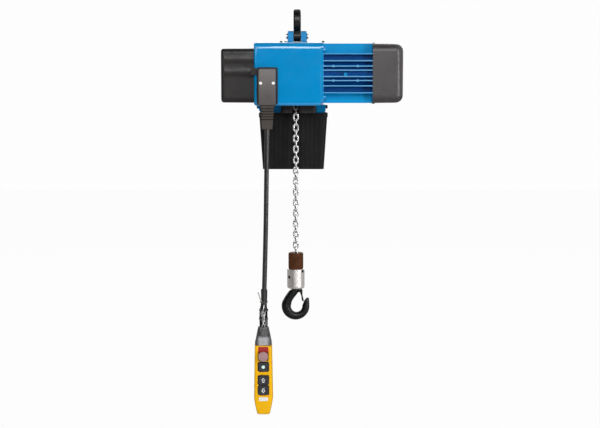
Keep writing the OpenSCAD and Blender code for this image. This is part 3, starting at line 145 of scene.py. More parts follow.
def sweep(points, radii, sides=12, closed=False, normal=None):
    """A round tube along points, with one radius or one at each point."""
    count = len(points)
    if not hasattr(radii, "__len__"):
        radii = [radii] * count
    verts, faces = [], []
    for i, point in enumerate(points):
        before = points[i - 1] if i or closed else point
        after = points[(i + 1) % count] if i < count - 1 or closed else point
        along = (after - before).normalized()
        normal = along.orthogonal() if normal is None else normal
        normal = (normal - along * normal.dot(along)).normalized()
        across = along.cross(normal)
        for k in range(sides):
            turn = 2 * math.pi * k / sides
            verts.append(point + (normal * math.cos(turn) + across * math.sin(turn)) * radii[i])
    for i in range(count if closed else count - 1):
        here, there = i * sides, (i + 1) % count * sides
        for k in range(sides):
            nxt = (k + 1) % sides
            faces.append((here + k, here + nxt, there + nxt, there + k))
    if not closed:
        faces.append(tuple(range(sides - 1, -1, -1)))
        faces.append(tuple((count - 1) * sides + k for k in range(sides)))
    return verts, faces


# Three strands that touch lie this many strand radii from their middle
STRAND_LAY = 1.16


def rope(points, strand_r, pitch, strands=3):
    """Strands laid round a line of points."""
    lay = strand_r * STRAND_LAY
    parts = []
    for s in range(strands):
        line, run = [], 0.0
        for i, point in enumerate(points):
            run += (point - points[i - 1]).length if i else 0.0
            turn = 2 * math.pi * (run / pitch + s / strands)
            along = (points[min(i + 1, len(points) - 1)] - points[max(i - 1, 0)]).normalized()
            side = along.cross(Vector((0, 1, 0))).normalized()
            line.append(point + (side * math.cos(turn) + along.cross(side) * math.sin(turn)) * lay)
        parts.append(sweep(line, strand_r, 6))
    return joined(parts)


def smooth_line(points, count):
    """A Catmull-Rom line through points, as so many points."""
    line = []
    last = len(points) - 1
    for i in range(count):
        place = i * last / (count - 1)
        k = min(int(place), last - 1)
        t = place - k
        a, b, c, d = (points[min(max(k + j, 0), last)] for j in (-1, 0, 1, 2))
        line.append(0.5 * (2 * b + (c - a) * t + (2 * a - 5 * b + 4 * c - d) * t * t
                           + (3 * b - a - 3 * c + d) * t * t * t))
    return line


def ring_prism(outer, inner, front, back, centre, surface):
    """A flat ring between two outlines in XZ, mm, from front to back of the depths surface(x, z)."""
    count = len(outer)
    verts = []
    for shift in (front, back):
        for outline in (outer, inner):
            verts += [mm(centre[0] + x, surface(x, z) + shift, centre[1] + z) for x, z in outline]
    faces = []
    for k in range(count):
        n = (k + 1) % count
        faces.append((k, n, count + n, count + k))
        faces.append((2 * count + k, 3 * count + k, 3 * count + n, 2 * count + n))
        faces.append((k, 2 * count + k, 2 * count + n, n))
        faces.append((count + k, count + n, 3 * count + n, 3 * count + k))
    return verts, faces


def rounded_outline(width, height, radius, corner=6):
    """Points of a rounded rectangle about the origin, counter-clockwise."""
    points = []
    for quarter, (sx, sz) in enumerate(((1, 1), (-1, 1), (-1, -1), (1, -1))):
        for k in range(corner + 1):
            turn = math.pi / 2 * (quarter + k / corner)
            points.append((sx * (width / 2 - radius) + radius * math.cos(turn),
                           sz * (height / 2 - radius) + radius * math.sin(turn)))
    return points


# Pendant cable, from the mouth of the plug's boot to the pendant's boot

CABLE_D = 0.013
CABLE_R = CABLE_D / 2
CABLE_SIDES = 20
ROUTE_POINTS = 28
INTO_COLLAR = 0.006
BOW = mm(1.3, -0.8, 0)
DOME_RINGS = 4
DOME_TIP_R = 0.0004
CABLE_Y = middle("plug_boot").y
EXIT = Vector((middle("plug_boot").x, CABLE_Y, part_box("plug_boot")[0][2]))
BOOT_TOP = Vector((middle("pendant_boot").x, CABLE_Y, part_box("pendant_boot")[1][2]))
LEAN = math.atan2(EXIT.x - BOOT_TOP.x, EXIT.z - BOOT_TOP.z)
ON_CABLE = Matrix.Translation(BOOT_TOP) @ Matrix.Rotation(LEAN, 4, "Y")

down = (BOOT_TOP - EXIT).normalized()
reach = (BOOT_TOP - EXIT).length + INTO_COLLAR
route = []
for step in range(ROUTE_POINTS):
    share = step / (ROUTE_POINTS - 1)
    route.append(EXIT + down * (reach * share) + BOW * math.sin(math.pi * share) ** 2)
dome_turns = [math.pi / 2 / DOME_RINGS * k for k in range(DOME_RINGS)]
dome = [EXIT - down * (CABLE_R * math.cos(turn)) for turn in dome_turns]
radii = [max(CABLE_R * math.sin(turn), DOME_TIP_R) for turn in dome_turns] + [CABLE_R] * ROUTE_POINTS
cable = piece("cable", *sweep(dome + route, radii, CABLE_SIDES), "pendant")
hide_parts("pendant_cable")


# Strain wires beside the cable and the ties that hold them

WIRE_POINTS = 15
WIRE_STEP = 8
WIRE_SPREAD = 8.8
WIRE_SLACK = 0.6
WIRE_SWAY = 1.1
WIRE_SMOOTH_POINTS = 70
WIRE_STRAND_R = 0.0012
WIRE_LAY = 0.013
# The wires draw in by so much, from a height and over a length, mm
WIRE_DRAWN_IN = 2.6
DRAWN_FROM = 46
DRAWN_OVER = 16
CROSSING_SMOOTH_POINTS = 44
CROSSING_STRAND_R = 0.0008
CROSSING_LAY = 0.011
KNOT_POINTS = 10
KNOT_TURN = 0.7
KNOT_R = 3
KNOT_X, KNOT_Y, KNOT_Z = 0.3, -11, 31
KNOT_OUT = 0.12


def on_cable(points):
    """Points given in the cable's own frame, mm up from the pendant's boot."""
    return [ON_CABLE @ mm(*p) for p in points]


def wire_line(side):
    """One wire's line on the cable, drawn in towards its upper end."""
    line = []
    for k in range(WIRE_POINTS):
        z = WIRE_STEP * (k - 1)
        spread = WIRE_SPREAD - WIRE_DRAWN_IN * min(max((z - DRAWN_FROM) / DRAWN_OVER, 0), 1)
        slack = WIRE_SLACK * math.sin(z / 13 + side)
        line.append((side * (spread + slack), -1 + WIRE_SWAY * math.cos(z / 15 + side), z))
    return line


wire_lines = [smooth_line(on_cable(wire_line(side)), WIRE_SMOOTH_POINTS) for side in (-1, 1)]
wire_ropes = [rope(line, WIRE_STRAND_R, WIRE_LAY) for line in wire_lines]
wires = piece("wires", *joined(wire_ropes), "pendant")
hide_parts("strain_wires")
crossings = [
    [(0.5, -8.6, 60), (-0.4, -9.4, 52), (-1.8, -9.8, 45), (-2.3, -10.2, 38), (0.8, -10.8, 31),
     (2, -10.2, 24), (0.8, -9.8, 15), (-1.8, -9.2, 8), (-4.2, -8, 1), (-5, -6, -5)],
    [(3.4, -8.4, 48), (3.4, -9.4, 41), (2, -10.4, 34), (-1.2, -10.4, 27), (-2.6, -9.8, 20),
     (-0.4, -9.4, 12), (2.8, -8.8, 4), (4, -6, -5)],
]
knot = []
for k in range(KNOT_POINTS):
    turn = KNOT_TURN * k
    knot.append((KNOT_R * math.cos(turn) + KNOT_X, KNOT_Y - KNOT_OUT * k,
                 KNOT_R * math.sin(turn) + KNOT_Z))
crossing_lines = [smooth_line(on_cable(line), CROSSING_SMOOTH_POINTS) for line in crossings + [knot]]
crossing_ropes = [rope(line, CROSSING_STRAND_R, CROSSING_LAY) for line in crossing_lines]
strands = piece("crossing_strands", *joined(crossing_ropes), "pendant")


TAIL_TIE, MIDDLE_TIE, LOW_TIE = 67, 44, 20
TAIL_TIE_W = 20
TIE_W = 24.4
TIE_DEPTH = 20.2
TIE_CORNER = 7.5
# Section of the band, outward and up, and the rings of its head, y and half width
BAND_SECTION = ((0, 0), (0.3, 0.4), (0.3, 4.4), (0, 4.8), (-1.2, 4.8), (-1.2, 0))
HEAD_RINGS = ((-9.6, 3.2), (-12.6, 3.2), (-13.4, 2.6))
HEAD_X = 5
HEAD_RISE = 2.4


def tie(z, width, head_side):
    """A flat band round cable and wires, with its square head at the front."""
    outer = rounded_outline(width, TIE_DEPTH, TIE_CORNER)
    band_verts, band_faces = [], []
    count = len(outer)
    for grow, dz in BAND_SECTION:
        for x, y in outer:
            far = math.hypot(x, y)
            band_verts.append(mm(x * (1 + grow / far), y * (1 + grow / far), z + dz))
    for level in range(len(BAND_SECTION)):
        nxt = (level + 1) % len(BAND_SECTION)
        for k in range(count):
            n = (k + 1) % count
            band_faces.append((level * count + k, level * count + n, nxt * count + n, nxt * count + k))
    head = []
    for y, half in HEAD_RINGS:
        head += [mm(head_side * HEAD_X + x, y, z + HEAD_RISE + h)
                 for x, h in rounded_outline(2 * half, 2 * half, 1, 3)]
    last = len(HEAD_RINGS) - 1
    ring = len(head) // len(HEAD_RINGS)
    head_faces = [tuple(range(ring)), tuple(range(len(head) - 1, last * ring - 1, -1))]
    for level in range(last):
        here, there = level * ring, (level + 1) * ring
        for k in range(ring):
            n = (k + 1) % ring
            head_faces.append((here + n, here + k, there + k, there + n))
    return joined([(band_verts, band_faces), (head, head_faces)])


all_ties = joined([tie(TAIL_TIE, TAIL_TIE_W, -1), tie(MIDDLE_TIE, TIE_W, 1), tie(LOW_TIE, TIE_W, -1)])
ties = piece("ties", *moved(all_ties, ON_CABLE), "pendant", smooth=False)
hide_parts("cable_ties")

# The free end of the top tie, a flat strip that leans out from the tie's head
TAIL_ROUTE = ((-5, -11.6, -1), (-7.6, -11.4, 6), (-10.4, -10.8, 14), (-13.4, -10, 22), (-16.4, -9.2, 30))
TAIL_SECTION = ((-1.9, -0.5), (1.9, -0.5), (1.9, 0.5), (-1.9, 0.5))
TAIL_ACROSS, TAIL_TILT = 0.91, 0.41
TAIL_POINTS = 26
tail_line = smooth_line([Vector((x, y, TAIL_TIE + z)) for x, y, z in TAIL_ROUTE], TAIL_POINTS)
tail_verts, tail_faces = [], []
for p in tail_line:
    for x, y in TAIL_SECTION:
        tail_verts.append(mm(p.x + x * TAIL_ACROSS, p.y + y, p.z + x * TAIL_TILT))
for i in range(TAIL_POINTS - 1):
    here, there = 4 * i, 4 * (i + 1)
    for k in range(4):
        n = (k + 1) % 4
        tail_faces.append((here + k, here + n, there + n, there + k))
tail_faces += [(3, 2, 1, 0), tuple(4 * (TAIL_POINTS - 1) + k for k in range(4))]
tail = piece("tie_tail", *moved((tail_verts, tail_faces), ON_CABLE), "pendant", smooth=False)


# Load chain: short links, each welded on one side

PITCH = 15.0
LINK_HALF = 4.3
LINK_ARC = 5.75
WIRE_R = 2.5
WELD_SWELL = 0.09
LINKS = 36
CHAIN_TURN = 8
CHAIN_X = middle("load_chain").x * 1000
WHEEL_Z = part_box("load_chain")[1][2] * 1000 - LINK_HALF - LINK_ARC - WIRE_R


def chain_twist(number):
    """The chain hangs a little turned, in degrees, and square at both ends."""
    return min(number, CHAIN_TURN, LINKS - number)


def link(number):
    """One link as a closed tube, swollen a little at its weld."""
    outline = []
    for k in range(5):
        weld = 1 + WELD_SWELL * math.exp(-((k - 2) / 0.7) ** 2)
        outline.append((LINK_ARC, LINK_HALF * (k / 2 - 1), weld))
    for k in range(1, 9):
        turn = math.pi * k / 9
        outline.append((LINK_ARC * math.cos(turn), LINK_HALF + LINK_ARC * math.sin(turn), 1))
    for k in range(5):
        outline.append((-LINK_ARC, LINK_HALF * (1 - k / 2), 1))
    for k in range(1, 9):
        turn = math.pi * (1 + k / 9)
        outline.append((LINK_ARC * math.cos(turn), -LINK_HALF + LINK_ARC * math.sin(turn), 1))
    twist = 90 * ((number + 1) % 2) + chain_twist(number)
    hung = Matrix.Translation(mm(CHAIN_X, 0, WHEEL_Z - PITCH * number))
    place = hung @ Matrix.Rotation(math.radians(twist), 4, "Z")
    points = [place @ mm(x, 0, z) for x, z, _ in outline]
    radii = [WIRE_R * 0.001 * grow for _, _, grow in outline]
    return sweep(points, radii, 12, closed=True, normal=place.to_3x3() @ Vector((0, 1, 0)))


def links(name, first, last, body):
    """Links of the chain from one number to another as one piece."""
    return piece(name, *joined([link(i) for i in range(first, last + 1)]), body)


chain_top = links("chain_at_wheel", 0, 2, "hoist")
chain_run = links("chain_run", 3, 30, "hoist")
chain_end = links("chain_at_hook", 31, LINKS, "hook_block")
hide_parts("load_chain")
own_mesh(chain_run)


# Small pieces: key marks, plates on the pendant, screws on the housing's top

PENDANT_X = middle("pendant_front").x * 1000
PENDANT_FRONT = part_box("pendant_front")[0][1] * 1000
STOP_Z, START_Z, UP_Z, DOWN_Z = (middle(key + "_button").z * 1000
                                 for key in ("stop", "start", "up", "down"))
LABEL_Z = DOWN_Z - 25
KEY_PROUD = 3
DISH_R = 60
DISH_DEPTH = 0.8
MARK_FRONT, MARK_BACK = -0.15, 0.35


def dish(x, z):
    """Depth of a key's hollow face."""
    return PENDANT_FRONT - KEY_PROUD - (DISH_R - DISH_DEPTH) + math.sqrt(DISH_R * DISH_R - x * x - z * z)


def mark(name, outer, inner, z, body):
    """A thin mark that lies in the hollow face of a key."""
    part = ring_prism(outer, inner, MARK_FRONT, MARK_BACK, (PENDANT_X, z), dish)
    return piece(name, *part, body, smooth=False)


def scaled(outline, factor):
    """An outline made larger or smaller about the origin."""
    return [(factor * x, factor * z) for x, z in outline]


CIRCLE_SIDES = 28
DOT_R = 4.6
circle = [(math.cos(2 * math.pi * k / CIRCLE_SIDES), math.sin(2 * math.pi * k / CIRCLE_SIDES))
          for k in range(CIRCLE_SIDES)]
arrow_out = [(0, 7), (6.4, 0.6), (3, 0.6), (3, -6), (-3, -6), (-3, 0.6), (-6.4, 0.6)]
arrow_in = [(0, 4.4), (2.6, 1.9), (1.2, 1.9), (1.2, -4.2), (-1.2, -4.2), (-1.2, 1.9), (-2.6, 1.9)]
marks = [
    mark("start_mark", scaled(circle, DOT_R), scaled(circle, 0.02), START_Z, "start_button"),
    mark("up_mark", arrow_out, arrow_in, UP_Z, "up_button"),
    mark("down_mark", scaled(arrow_out, -1), scaled(arrow_in, -1), DOWN_Z, "down_button"),
]

KEY_W, KEY_H, KEY_R = 26.0, 24.0, 5.0
KEY_CLEARANCE = 1
FIELD_W = KEY_W + 6
FIELD_CLEARANCE = 0.6
FIELD_Y = PENDANT_FRONT + 2
KEY_PLATE_H = 28.0
STOP_PLATE_W, STOP_PLATE_H, STOP_PLATE_R = FIELD_W - 4, 39, 3
STOP_PLATE_UP = 6
STOP_HOLE_R = 8.7
LABEL_W, LABEL_H, LABEL_R = 25, 10.4, 2
NO_HOLE = 0.01


def plate(name, outer, hole, centre_z, level, front, back):
    """A thin plate with a hole on the pendant, from front to back of the depth level, mm."""
    part = ring_prism(outer, hole, front, back, (PENDANT_X, centre_z), lambda x, z: level)
    return piece(name, *part, "pendant", smooth=False)


stop_plate_out = rounded_outline(STOP_PLATE_W, STOP_PLATE_H, STOP_PLATE_R)
stop_hole = []
for x, z in stop_plate_out:
    far = math.hypot(x, z + STOP_PLATE_UP)
    stop_hole.append((STOP_HOLE_R * x / far, STOP_HOLE_R * (z + STOP_PLATE_UP) / far - STOP_PLATE_UP))
red_plate = plate("stop_plate", stop_plate_out, stop_hole, STOP_Z + STOP_PLATE_UP, PENDANT_FRONT,
                  front=-0.5, back=0.1)
key_plate_out = rounded_outline(FIELD_W - FIELD_CLEARANCE, KEY_PLATE_H, KEY_R)
key_hole = rounded_outline(KEY_W + KEY_CLEARANCE, KEY_H + KEY_CLEARANCE, KEY_R)
key_plates = [plate(name, key_plate_out, key_hole, z, FIELD_Y, front=-0.6, back=0.1) for name, z in
              (("start_plate", START_Z), ("up_plate", UP_Z), ("down_plate", DOWN_Z))]
label_out = rounded_outline(LABEL_W, LABEL_H, LABEL_R)
label = plate("bare_plate", label_out, scaled(label_out, NO_HOLE), LABEL_Z, PENDANT_FRONT,
              front=-0.5, back=0.2)

# Height of the housing's top, rings of a screw's head as radius and height, and the screws' places, mm
HOUSE_TOP = -60.5
TOP_SCREW_RINGS = ((3.4, 0), (3.4, 3.2), (2.9, 4), (1.7, 4), (1.7, 2.2))
TOP_SCREW_PLACES = ((-44, -56), (-32, -40), (-44, 56), (71, -56), (71, 56))


def top_screw(x, y):
    """A socket screw's head on the housing's top, mm."""
    verts, faces = [], []
    for radius, z in TOP_SCREW_RINGS:
        verts += [mm(x + radius * c, y + radius * s, HOUSE_TOP + z) for c, s in circle]
    count = len(circle)
    last = len(TOP_SCREW_RINGS) - 1
    for level in range(last):
        here, there = level * count, (level + 1) * count
        for k in range(count):
            n = (k + 1) % count
            faces.append((here + k, here + n, there + n, there + k))
    faces.append(tuple(last * count + k for k in range(count)))
    return verts, faces


screw_heads = joined([top_screw(x, y) for x, y in TOP_SCREW_PLACES])
top_screws = piece("top_screws", *screw_heads, "hoist", smooth=False)


# Materials

def add(tree, kind, inputs=None, **settings):
    """A node with its settings, its inputs either values or other nodes' outputs."""
    node = tree.nodes.new(kind)
    for key, value in settings.items():
        setattr(node, key, value)
    for key, value in (inputs or {}).items():
        if isinstance(value, bpy.types.NodeSocket):
            tree.links.new(value, node.inputs[key])
        else:
            node.inputs[key].default_value = value
    return node


def noise(tree, where, size, detail=3.0, rough=0.55):
    """Noise of a feature size in metres, about 0.5."""
    return add(tree, "ShaderNodeTexNoise", {"Vector": where, "Scale": 1 / size, "Detail": detail,
                                            "Roughness": rough}).outputs["Fac"]


def span(tree, value, from_lo, from_hi, to_lo, to_hi):
    """A value's range carried to another range and held at its ends."""
    return add(tree, "ShaderNodeMapRange", {"Value": value, "From Min": from_lo, "From Max": from_hi,
                                            "To Min": to_lo, "To Max": to_hi}).outputs["Result"]


def mixed(tree, share, a, b):
    """Colour a where share is 0 and b where it is 1."""
    node = add(tree, "ShaderNodeMix", data_type="RGBA")
    for socket, value in ((node.inputs[0], share), (node.inputs[6], a), (node.inputs[7], b)):
        if isinstance(value, bpy.types.NodeSocket):
            tree.links.new(value, socket)
        else:
            socket.default_value = value if isinstance(value, float) else (*value, 1.0)
    return node.outputs[2]


def maths(tree, operation, *values):
    """The result of one operation on values or other nodes' outputs."""
    return add(tree, "ShaderNodeMath", dict(enumerate(values)), operation=operation).outputs[0]


def product(tree, a, b):
    """Two values or outputs multiplied."""
    return maths(tree, "MULTIPLY", a, b)


def distance(tree, value, middle_value):
    """How far a value lies from a middle, on either side."""
    return maths(tree, "ABSOLUTE", maths(tree, "SUBTRACT", value, middle_value))


def coordinates(tree, where):
    """The X, Y and Z of a place."""
    return add(tree, "ShaderNodeSeparateXYZ", {"Vector": where}).outputs


def finish(name, base, metallic=0.0, rough=0.5, rough_spread=0.08, mottle=0.1, mottle_size=0.035,
           grain=0.0008, bump=0.00004, edge_scuff_and_highlight=None, edge_scuff_and_highlight_width=0.0009, edge_scuff_and_highlight_share=0.6, specular=0.5,
           bands=None, shade=None, gloss=None):
    """A finish with cloudy colour, uneven gloss, fine relief and lighter edges, which are wear, and on
    the blue enamel and the orange pendant also a painted highlight.

    bands = (axis, period, depth) adds turned or moulded lines; shade(tree, where, colour) changes the
    colour and gloss(tree, where, roughness) the roughness.
    """
    material = bpy.data.materials.new(name)
    material.use_nodes = True
    tree = material.node_tree
    surface = tree.nodes["Principled BSDF"]
    where = add(tree, "ShaderNodeTexCoord").outputs["Object"]

    cloud = noise(tree, where, mottle_size, 4.0)
    low = tuple(c * (1 - mottle) for c in base)
    high = tuple(min(c * (1 + mottle), 1) for c in base)
    colour = mixed(tree, span(tree, cloud, 0.3, 0.7, 0, 1), low, high)
    if shade:
        colour = shade(tree, where, colour)

    fine = noise(tree, where, grain, 2.0)
    edge = add(tree, "ShaderNodeBevel", {"Radius": edge_scuff_and_highlight_width}, samples=4).outputs["Normal"]
    # Lighter edges: wear, and on some finishes a painted highlight along the edges
    if edge_scuff_and_highlight:
        face = add(tree, "ShaderNodeNewGeometry").outputs["Normal"]
        facing = add(tree, "ShaderNodeVectorMath", operation="DOT_PRODUCT")
        tree.links.new(edge, facing.inputs[0])
        tree.links.new(face, facing.inputs[1])
        rim = span(tree, facing.outputs["Value"], 0.985, 0.80, 0, 1)
        patchy = span(tree, noise(tree, where, 0.006, 4.0, 0.7), 0.42, 0.62, 0, edge_scuff_and_highlight_share)
        colour = mixed(tree, product(tree, rim, patchy), colour, edge_scuff_and_highlight)
    tree.links.new(colour, surface.inputs["Base Color"])

    uneven = noise(tree, where, mottle_size / 2.5, 3.0)
    roughness = span(tree, uneven, 0.3, 0.7, rough - rough_spread, rough + rough_spread)
    if gloss:
        roughness = gloss(tree, where, roughness)
    tree.links.new(roughness, surface.inputs["Roughness"])
    relief = add(tree, "ShaderNodeBump", {"Height": fine, "Distance": bump, "Strength": 1.0,
                                          "Normal": edge})
    if bands:
        axis, period, depth = bands
        wave = add(tree, "ShaderNodeTexWave", {"Vector": where, "Scale": 0.31416 / period,
                                               "Distortion": 0.4, "Detail": 2.0}, bands_direction=axis)
        relief = add(tree, "ShaderNodeBump", {"Height": wave.outputs["Fac"], "Distance": depth,
                                              "Strength": 1.0, "Normal": relief.outputs["Normal"]})
    tree.links.new(relief.outputs["Normal"], surface.inputs["Normal"])
    surface.inputs["Metallic"].default_value = metallic
    surface.inputs["Specular IOR Level"].default_value = specular
    return material


def height_split(level, soft, upper):
    """A second colour above a height, mm."""
    def shade(tree, where, colour):
        z = coordinates(tree, where)["Z"]
        share = span(tree, z, (level - soft) * 0.001, (level + soft) * 0.001, 0, 1)
        return mixed(tree, share, colour, upper)
    return shade


def speckle(size, share, spot):
    """Small spots of another colour."""
    def shade(tree, where, colour):
        spots = span(tree, noise(tree, where, size, 3.0, 0.7), 0.55, 0.68, 0, share)
        return mixed(tree, spots, colour, spot)
    return shade


def rough_above(level, rough):
    """Duller above a height, mm."""
    def change(tree, where, roughness):
        z = coordinates(tree, where)["Z"]
        step = span(tree, z, (level - 1) * 0.001, (level + 1) * 0.001, 0, rough)
        return maths(tree, "MAXIMUM", roughness, step)
    return change


BOOT_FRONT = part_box("plug_boot")[0][1]


def boot_groove_shade(tree, where, colour):
    """Painted shade down in the grooves of the plug's boot: near black below the boot's outer surface."""
    out = distance(tree, coordinates(tree, where)["Y"], CABLE_Y)
    half = CABLE_Y - BOOT_FRONT
    # Painted shade: the grooves' floors are coloured near black
    deep = span(tree, out, half - 0.0006, half - 0.0022, 0, 0.85)
    return mixed(tree, deep, colour, (0.012, 0.008, 0.006))


COLLAR_LOW, COLLAR_HIGH = (corner[2] * 1000 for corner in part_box("pendant_boot"))
COLLAR_SPLIT = COLLAR_LOW + 0.48 * (COLLAR_HIGH - COLLAR_LOW)


def collar_bands(tree, where, colour):
    """Pale at the foot of the pendant's collar, dark with pale patches above, and darker at the sides,
    for the black side bosses and as painted shade on the sides.
    """
    place = coordinates(tree, where)
    off = distance(tree, place["X"], PENDANT_X * 0.001)
    patches = span(tree, noise(tree, where, 0.009, 4.0, 0.7), 0.45, 0.68, 0, 0.5)
    pale_patches = mixed(tree, patches, (0.035, 0.035, 0.037), (0.36, 0.36, 0.36))
    upper = span(tree, place["Z"], (COLLAR_SPLIT - 5) * 0.001, (COLLAR_SPLIT + 2) * 0.001, 0, 1)
    colour = mixed(tree, upper, colour, pale_patches)
    # Darker at the sides: the black side bosses, and painted shade where the collar's sides turn away
    return mixed(tree, span(tree, off, 0.0095, 0.017, 0, 0.85), colour, (0.022, 0.022, 0.026))


SCREW_HOLE = 0.0038
SCREW_HEAD = 0.0035
SCREWS_LOW, SCREWS_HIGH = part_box("block_screws")
SCREW_Y = SCREWS_HIGH[1] - SCREW_HEAD
SCREW_LOW, SCREW_HIGH = SCREWS_LOW[2] + SCREW_HEAD, SCREWS_HIGH[2] - SCREW_HEAD


def hole_painted_shade(tree, where, colour):
    """Painted shade inside the screw holes of the hook block, which stand crosswise in pairs: near black
    on the holes' walls.
    """
    place = coordinates(tree, where)
    out_y = maths(tree, "ABSOLUTE", place["Y"])
    off_x = maths(tree, "SUBTRACT", place["X"], CHAIN_X * 0.001)
    corner = product(tree, off_x, place["Y"])
    for level, sign in ((SCREW_LOW, 1), (SCREW_HIGH, -1)):
        point = add(tree, "ShaderNodeCombineXYZ", {"Y": out_y, "Z": place["Z"]}).outputs[0]
        gap = add(tree, "ShaderNodeVectorMath", {0: point, 1: (0, SCREW_Y, level)}, operation="DISTANCE")
        inside = span(tree, gap.outputs["Value"], SCREW_HOLE, SCREW_HOLE + 0.0001, 1, 0)
        there = span(tree, corner, 0, sign * 0.000001, 0, 1)
        # Painted shade: near black inside each hole
        colour = mixed(tree, product(tree, inside, there), colour, (0.012, 0.011, 0.010))
    return colour


MOTOR = middle("motor_shaft")
FIN_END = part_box("motor_housing")[1][1] * 1000
# Half the width of a row of fins, and how far down the painted groove shade reaches, mm
FIN_ROW_HALF = 53.0
FIN_DEPTH = 16


def fin_shade_and_highlight(tree, where, colour):
    """Painted shade down in the grooves between the fins, and a painted highlight on the fins' ends."""
    place = coordinates(tree, where)
    out_y = maths(tree, "ABSOLUTE", place["Y"])
    out_z = distance(tree, place["Z"], MOTOR.z)
    for depth, across in ((out_y, out_z), (out_z, out_y)):
        # Painted shade: deep blue down in the grooves; painted highlight: paler blue on the fins' ends
        among = span(tree, across, FIN_ROW_HALF * 0.001, (FIN_ROW_HALF + 0.6) * 0.001, 1, 0)
        deep = span(tree, depth, (FIN_END - 1.5) * 0.001, (FIN_END - FIN_DEPTH) * 0.001, 0, 0.92)
        colour = mixed(tree, product(tree, among, deep), colour, (0.0, 0.062, 0.29))
        end = span(tree, depth, (FIN_END - 0.4) * 0.001, (FIN_END - 0.1) * 0.001, 0, 0.6)
        colour = mixed(tree, product(tree, among, end), colour, (0.20, 0.44, 0.68))
    return colour


# The enamel's lighter blue edges are mostly a painted highlight along the edges, with some wear
blue = finish("blue_enamel", (0.0, 0.260, 0.592), rough=0.12, rough_spread=0.03, mottle=0.05,
              mottle_size=0.05, grain=0.0026, bump=0.000012, edge_scuff_and_highlight=(0.06, 0.42, 0.76), edge_scuff_and_highlight_width=0.0014,
              edge_scuff_and_highlight_share=0.4, specular=0.95, gloss=rough_above(HOUSE_TOP + 2.5, 0.85))
fin_blue = finish("fin_enamel", (0.0, 0.270, 0.580), rough=0.3, rough_spread=0.03, mottle=0.06,
                  mottle_size=0.05, grain=0.0026, bump=0.00002, specular=0.12, shade=fin_shade_and_highlight)
cover_black = finish("cover_plastic", (0.014, 0.012, 0.0115), rough=0.42, specular=0.36, mottle=0.14,
                     grain=0.0007, bump=0.00005, edge_scuff_and_highlight=(0.07, 0.06, 0.06), edge_scuff_and_highlight_share=0.4,
                     shade=speckle(0.0012, 0.3, (0.022, 0.019, 0.018)))
cowl_black = finish("cowl_plastic", (0.036, 0.031, 0.032), rough=0.4, specular=0.6, mottle=0.12,
                    grain=0.0007, bump=0.00005, edge_scuff_and_highlight=(0.2, 0.19, 0.19), edge_scuff_and_highlight_share=0.5,
                    shade=speckle(0.0012, 0.3, (0.09, 0.08, 0.08)))
# Painted light: the plug is coloured paler above a height, standing in for light falling from above
plug_grey = finish("plug_plastic", (0.088, 0.08, 0.078), rough=0.55, specular=0.25, mottle=0.1,
                   grain=0.0006, bump=0.00004, edge_scuff_and_highlight=(0.26, 0.25, 0.24),
                   shade=height_split(-165, 45, (0.19, 0.175, 0.17)))
rubber = finish("boot_rubber", (0.06, 0.050, 0.043), rough=0.62, specular=0.25, mottle=0.16,
                grain=0.0006, bump=0.00006, edge_scuff_and_highlight=(0.14, 0.125, 0.115), edge_scuff_and_highlight_share=0.7,
                shade=boot_groove_shade)
bucket_black = finish("bucket_plastic", (0.0085, 0.0085, 0.009), rough=0.5, mottle=0.25, grain=0.0011,
                      bump=0.00007, edge_scuff_and_highlight=(0.03, 0.03, 0.032), edge_scuff_and_highlight_share=0.5, specular=0.12)
cable_black = finish("cable_sheath", (0.014, 0.0135, 0.014), rough=0.34, specular=0.65, mottle=0.2,
                     mottle_size=0.02, grain=0.0005, bump=0.00005,
                     shade=speckle(0.002, 0.3, (0.03, 0.029, 0.029)))
zinc = finish("zinc_steel", (0.66, 0.66, 0.65), metallic=1.0, rough=0.27, mottle=0.2, mottle_size=0.006,
              grain=0.0004, bump=0.00003, edge_scuff_and_highlight=(0.82, 0.82, 0.80),
              shade=speckle(0.0015, 0.4, (0.42, 0.41, 0.40)))
steel = finish("machined_steel", (0.55, 0.55, 0.56), metallic=1.0, rough=0.3, mottle=0.08,
               mottle_size=0.012, grain=0.0004, bump=0.00002, edge_scuff_and_highlight=(0.8, 0.8, 0.8))
bright_steel = finish("bright_screws", (0.9, 0.9, 0.89), metallic=0.7, rough=0.5, mottle=0.06,
                      mottle_size=0.003, grain=0.0003, bump=0.00002, edge_scuff_and_highlight=(0.95, 0.95, 0.95))
black_steel = finish("blackened_steel", (0.014, 0.011, 0.010), metallic=0.2, rough=0.4, specular=0.3,
                     mottle=0.2, mottle_size=0.01, grain=0.0006, bump=0.00004, edge_scuff_and_highlight=(0.22, 0.21, 0.2))
forged = finish("painted_forging", (0.0045, 0.0045, 0.005), rough=0.3, mottle=0.25, mottle_size=0.012,
                grain=0.0028, bump=0.00008, edge_scuff_and_highlight=(0.03, 0.03, 0.03), edge_scuff_and_highlight_width=0.0016, specular=0.3)
aluminium = finish("turned_aluminium", (0.83, 0.80, 0.765), metallic=1.0, rough=0.36, mottle=0.05,
                   mottle_size=0.01, grain=0.0005, bump=0.00002, edge_scuff_and_highlight=(0.93, 0.92, 0.9),
                   bands=("Z", 0.0011, 0.00002), shade=hole_painted_shade)
buffer_brown = finish("buffer_rubber", (0.082, 0.028, 0.010), rough=0.68, mottle=0.35,
                      mottle_size=0.016, grain=0.0012, bump=0.0002, edge_scuff_and_highlight=(0.15, 0.075, 0.04),
                      specular=0.12, shade=speckle(0.003, 0.6, (0.04, 0.016, 0.006)))
# The pendant's paler orange edges are a painted highlight along the edges, with some wear
orange = finish("pendant_plastic", (0.97, 0.51, 0.004), rough=0.4, specular=0.2, mottle=0.05,
                mottle_size=0.03, grain=0.0007, bump=0.00004, edge_scuff_and_highlight=(0.95, 0.58, 0.09),
                edge_scuff_and_highlight_width=0.0012)
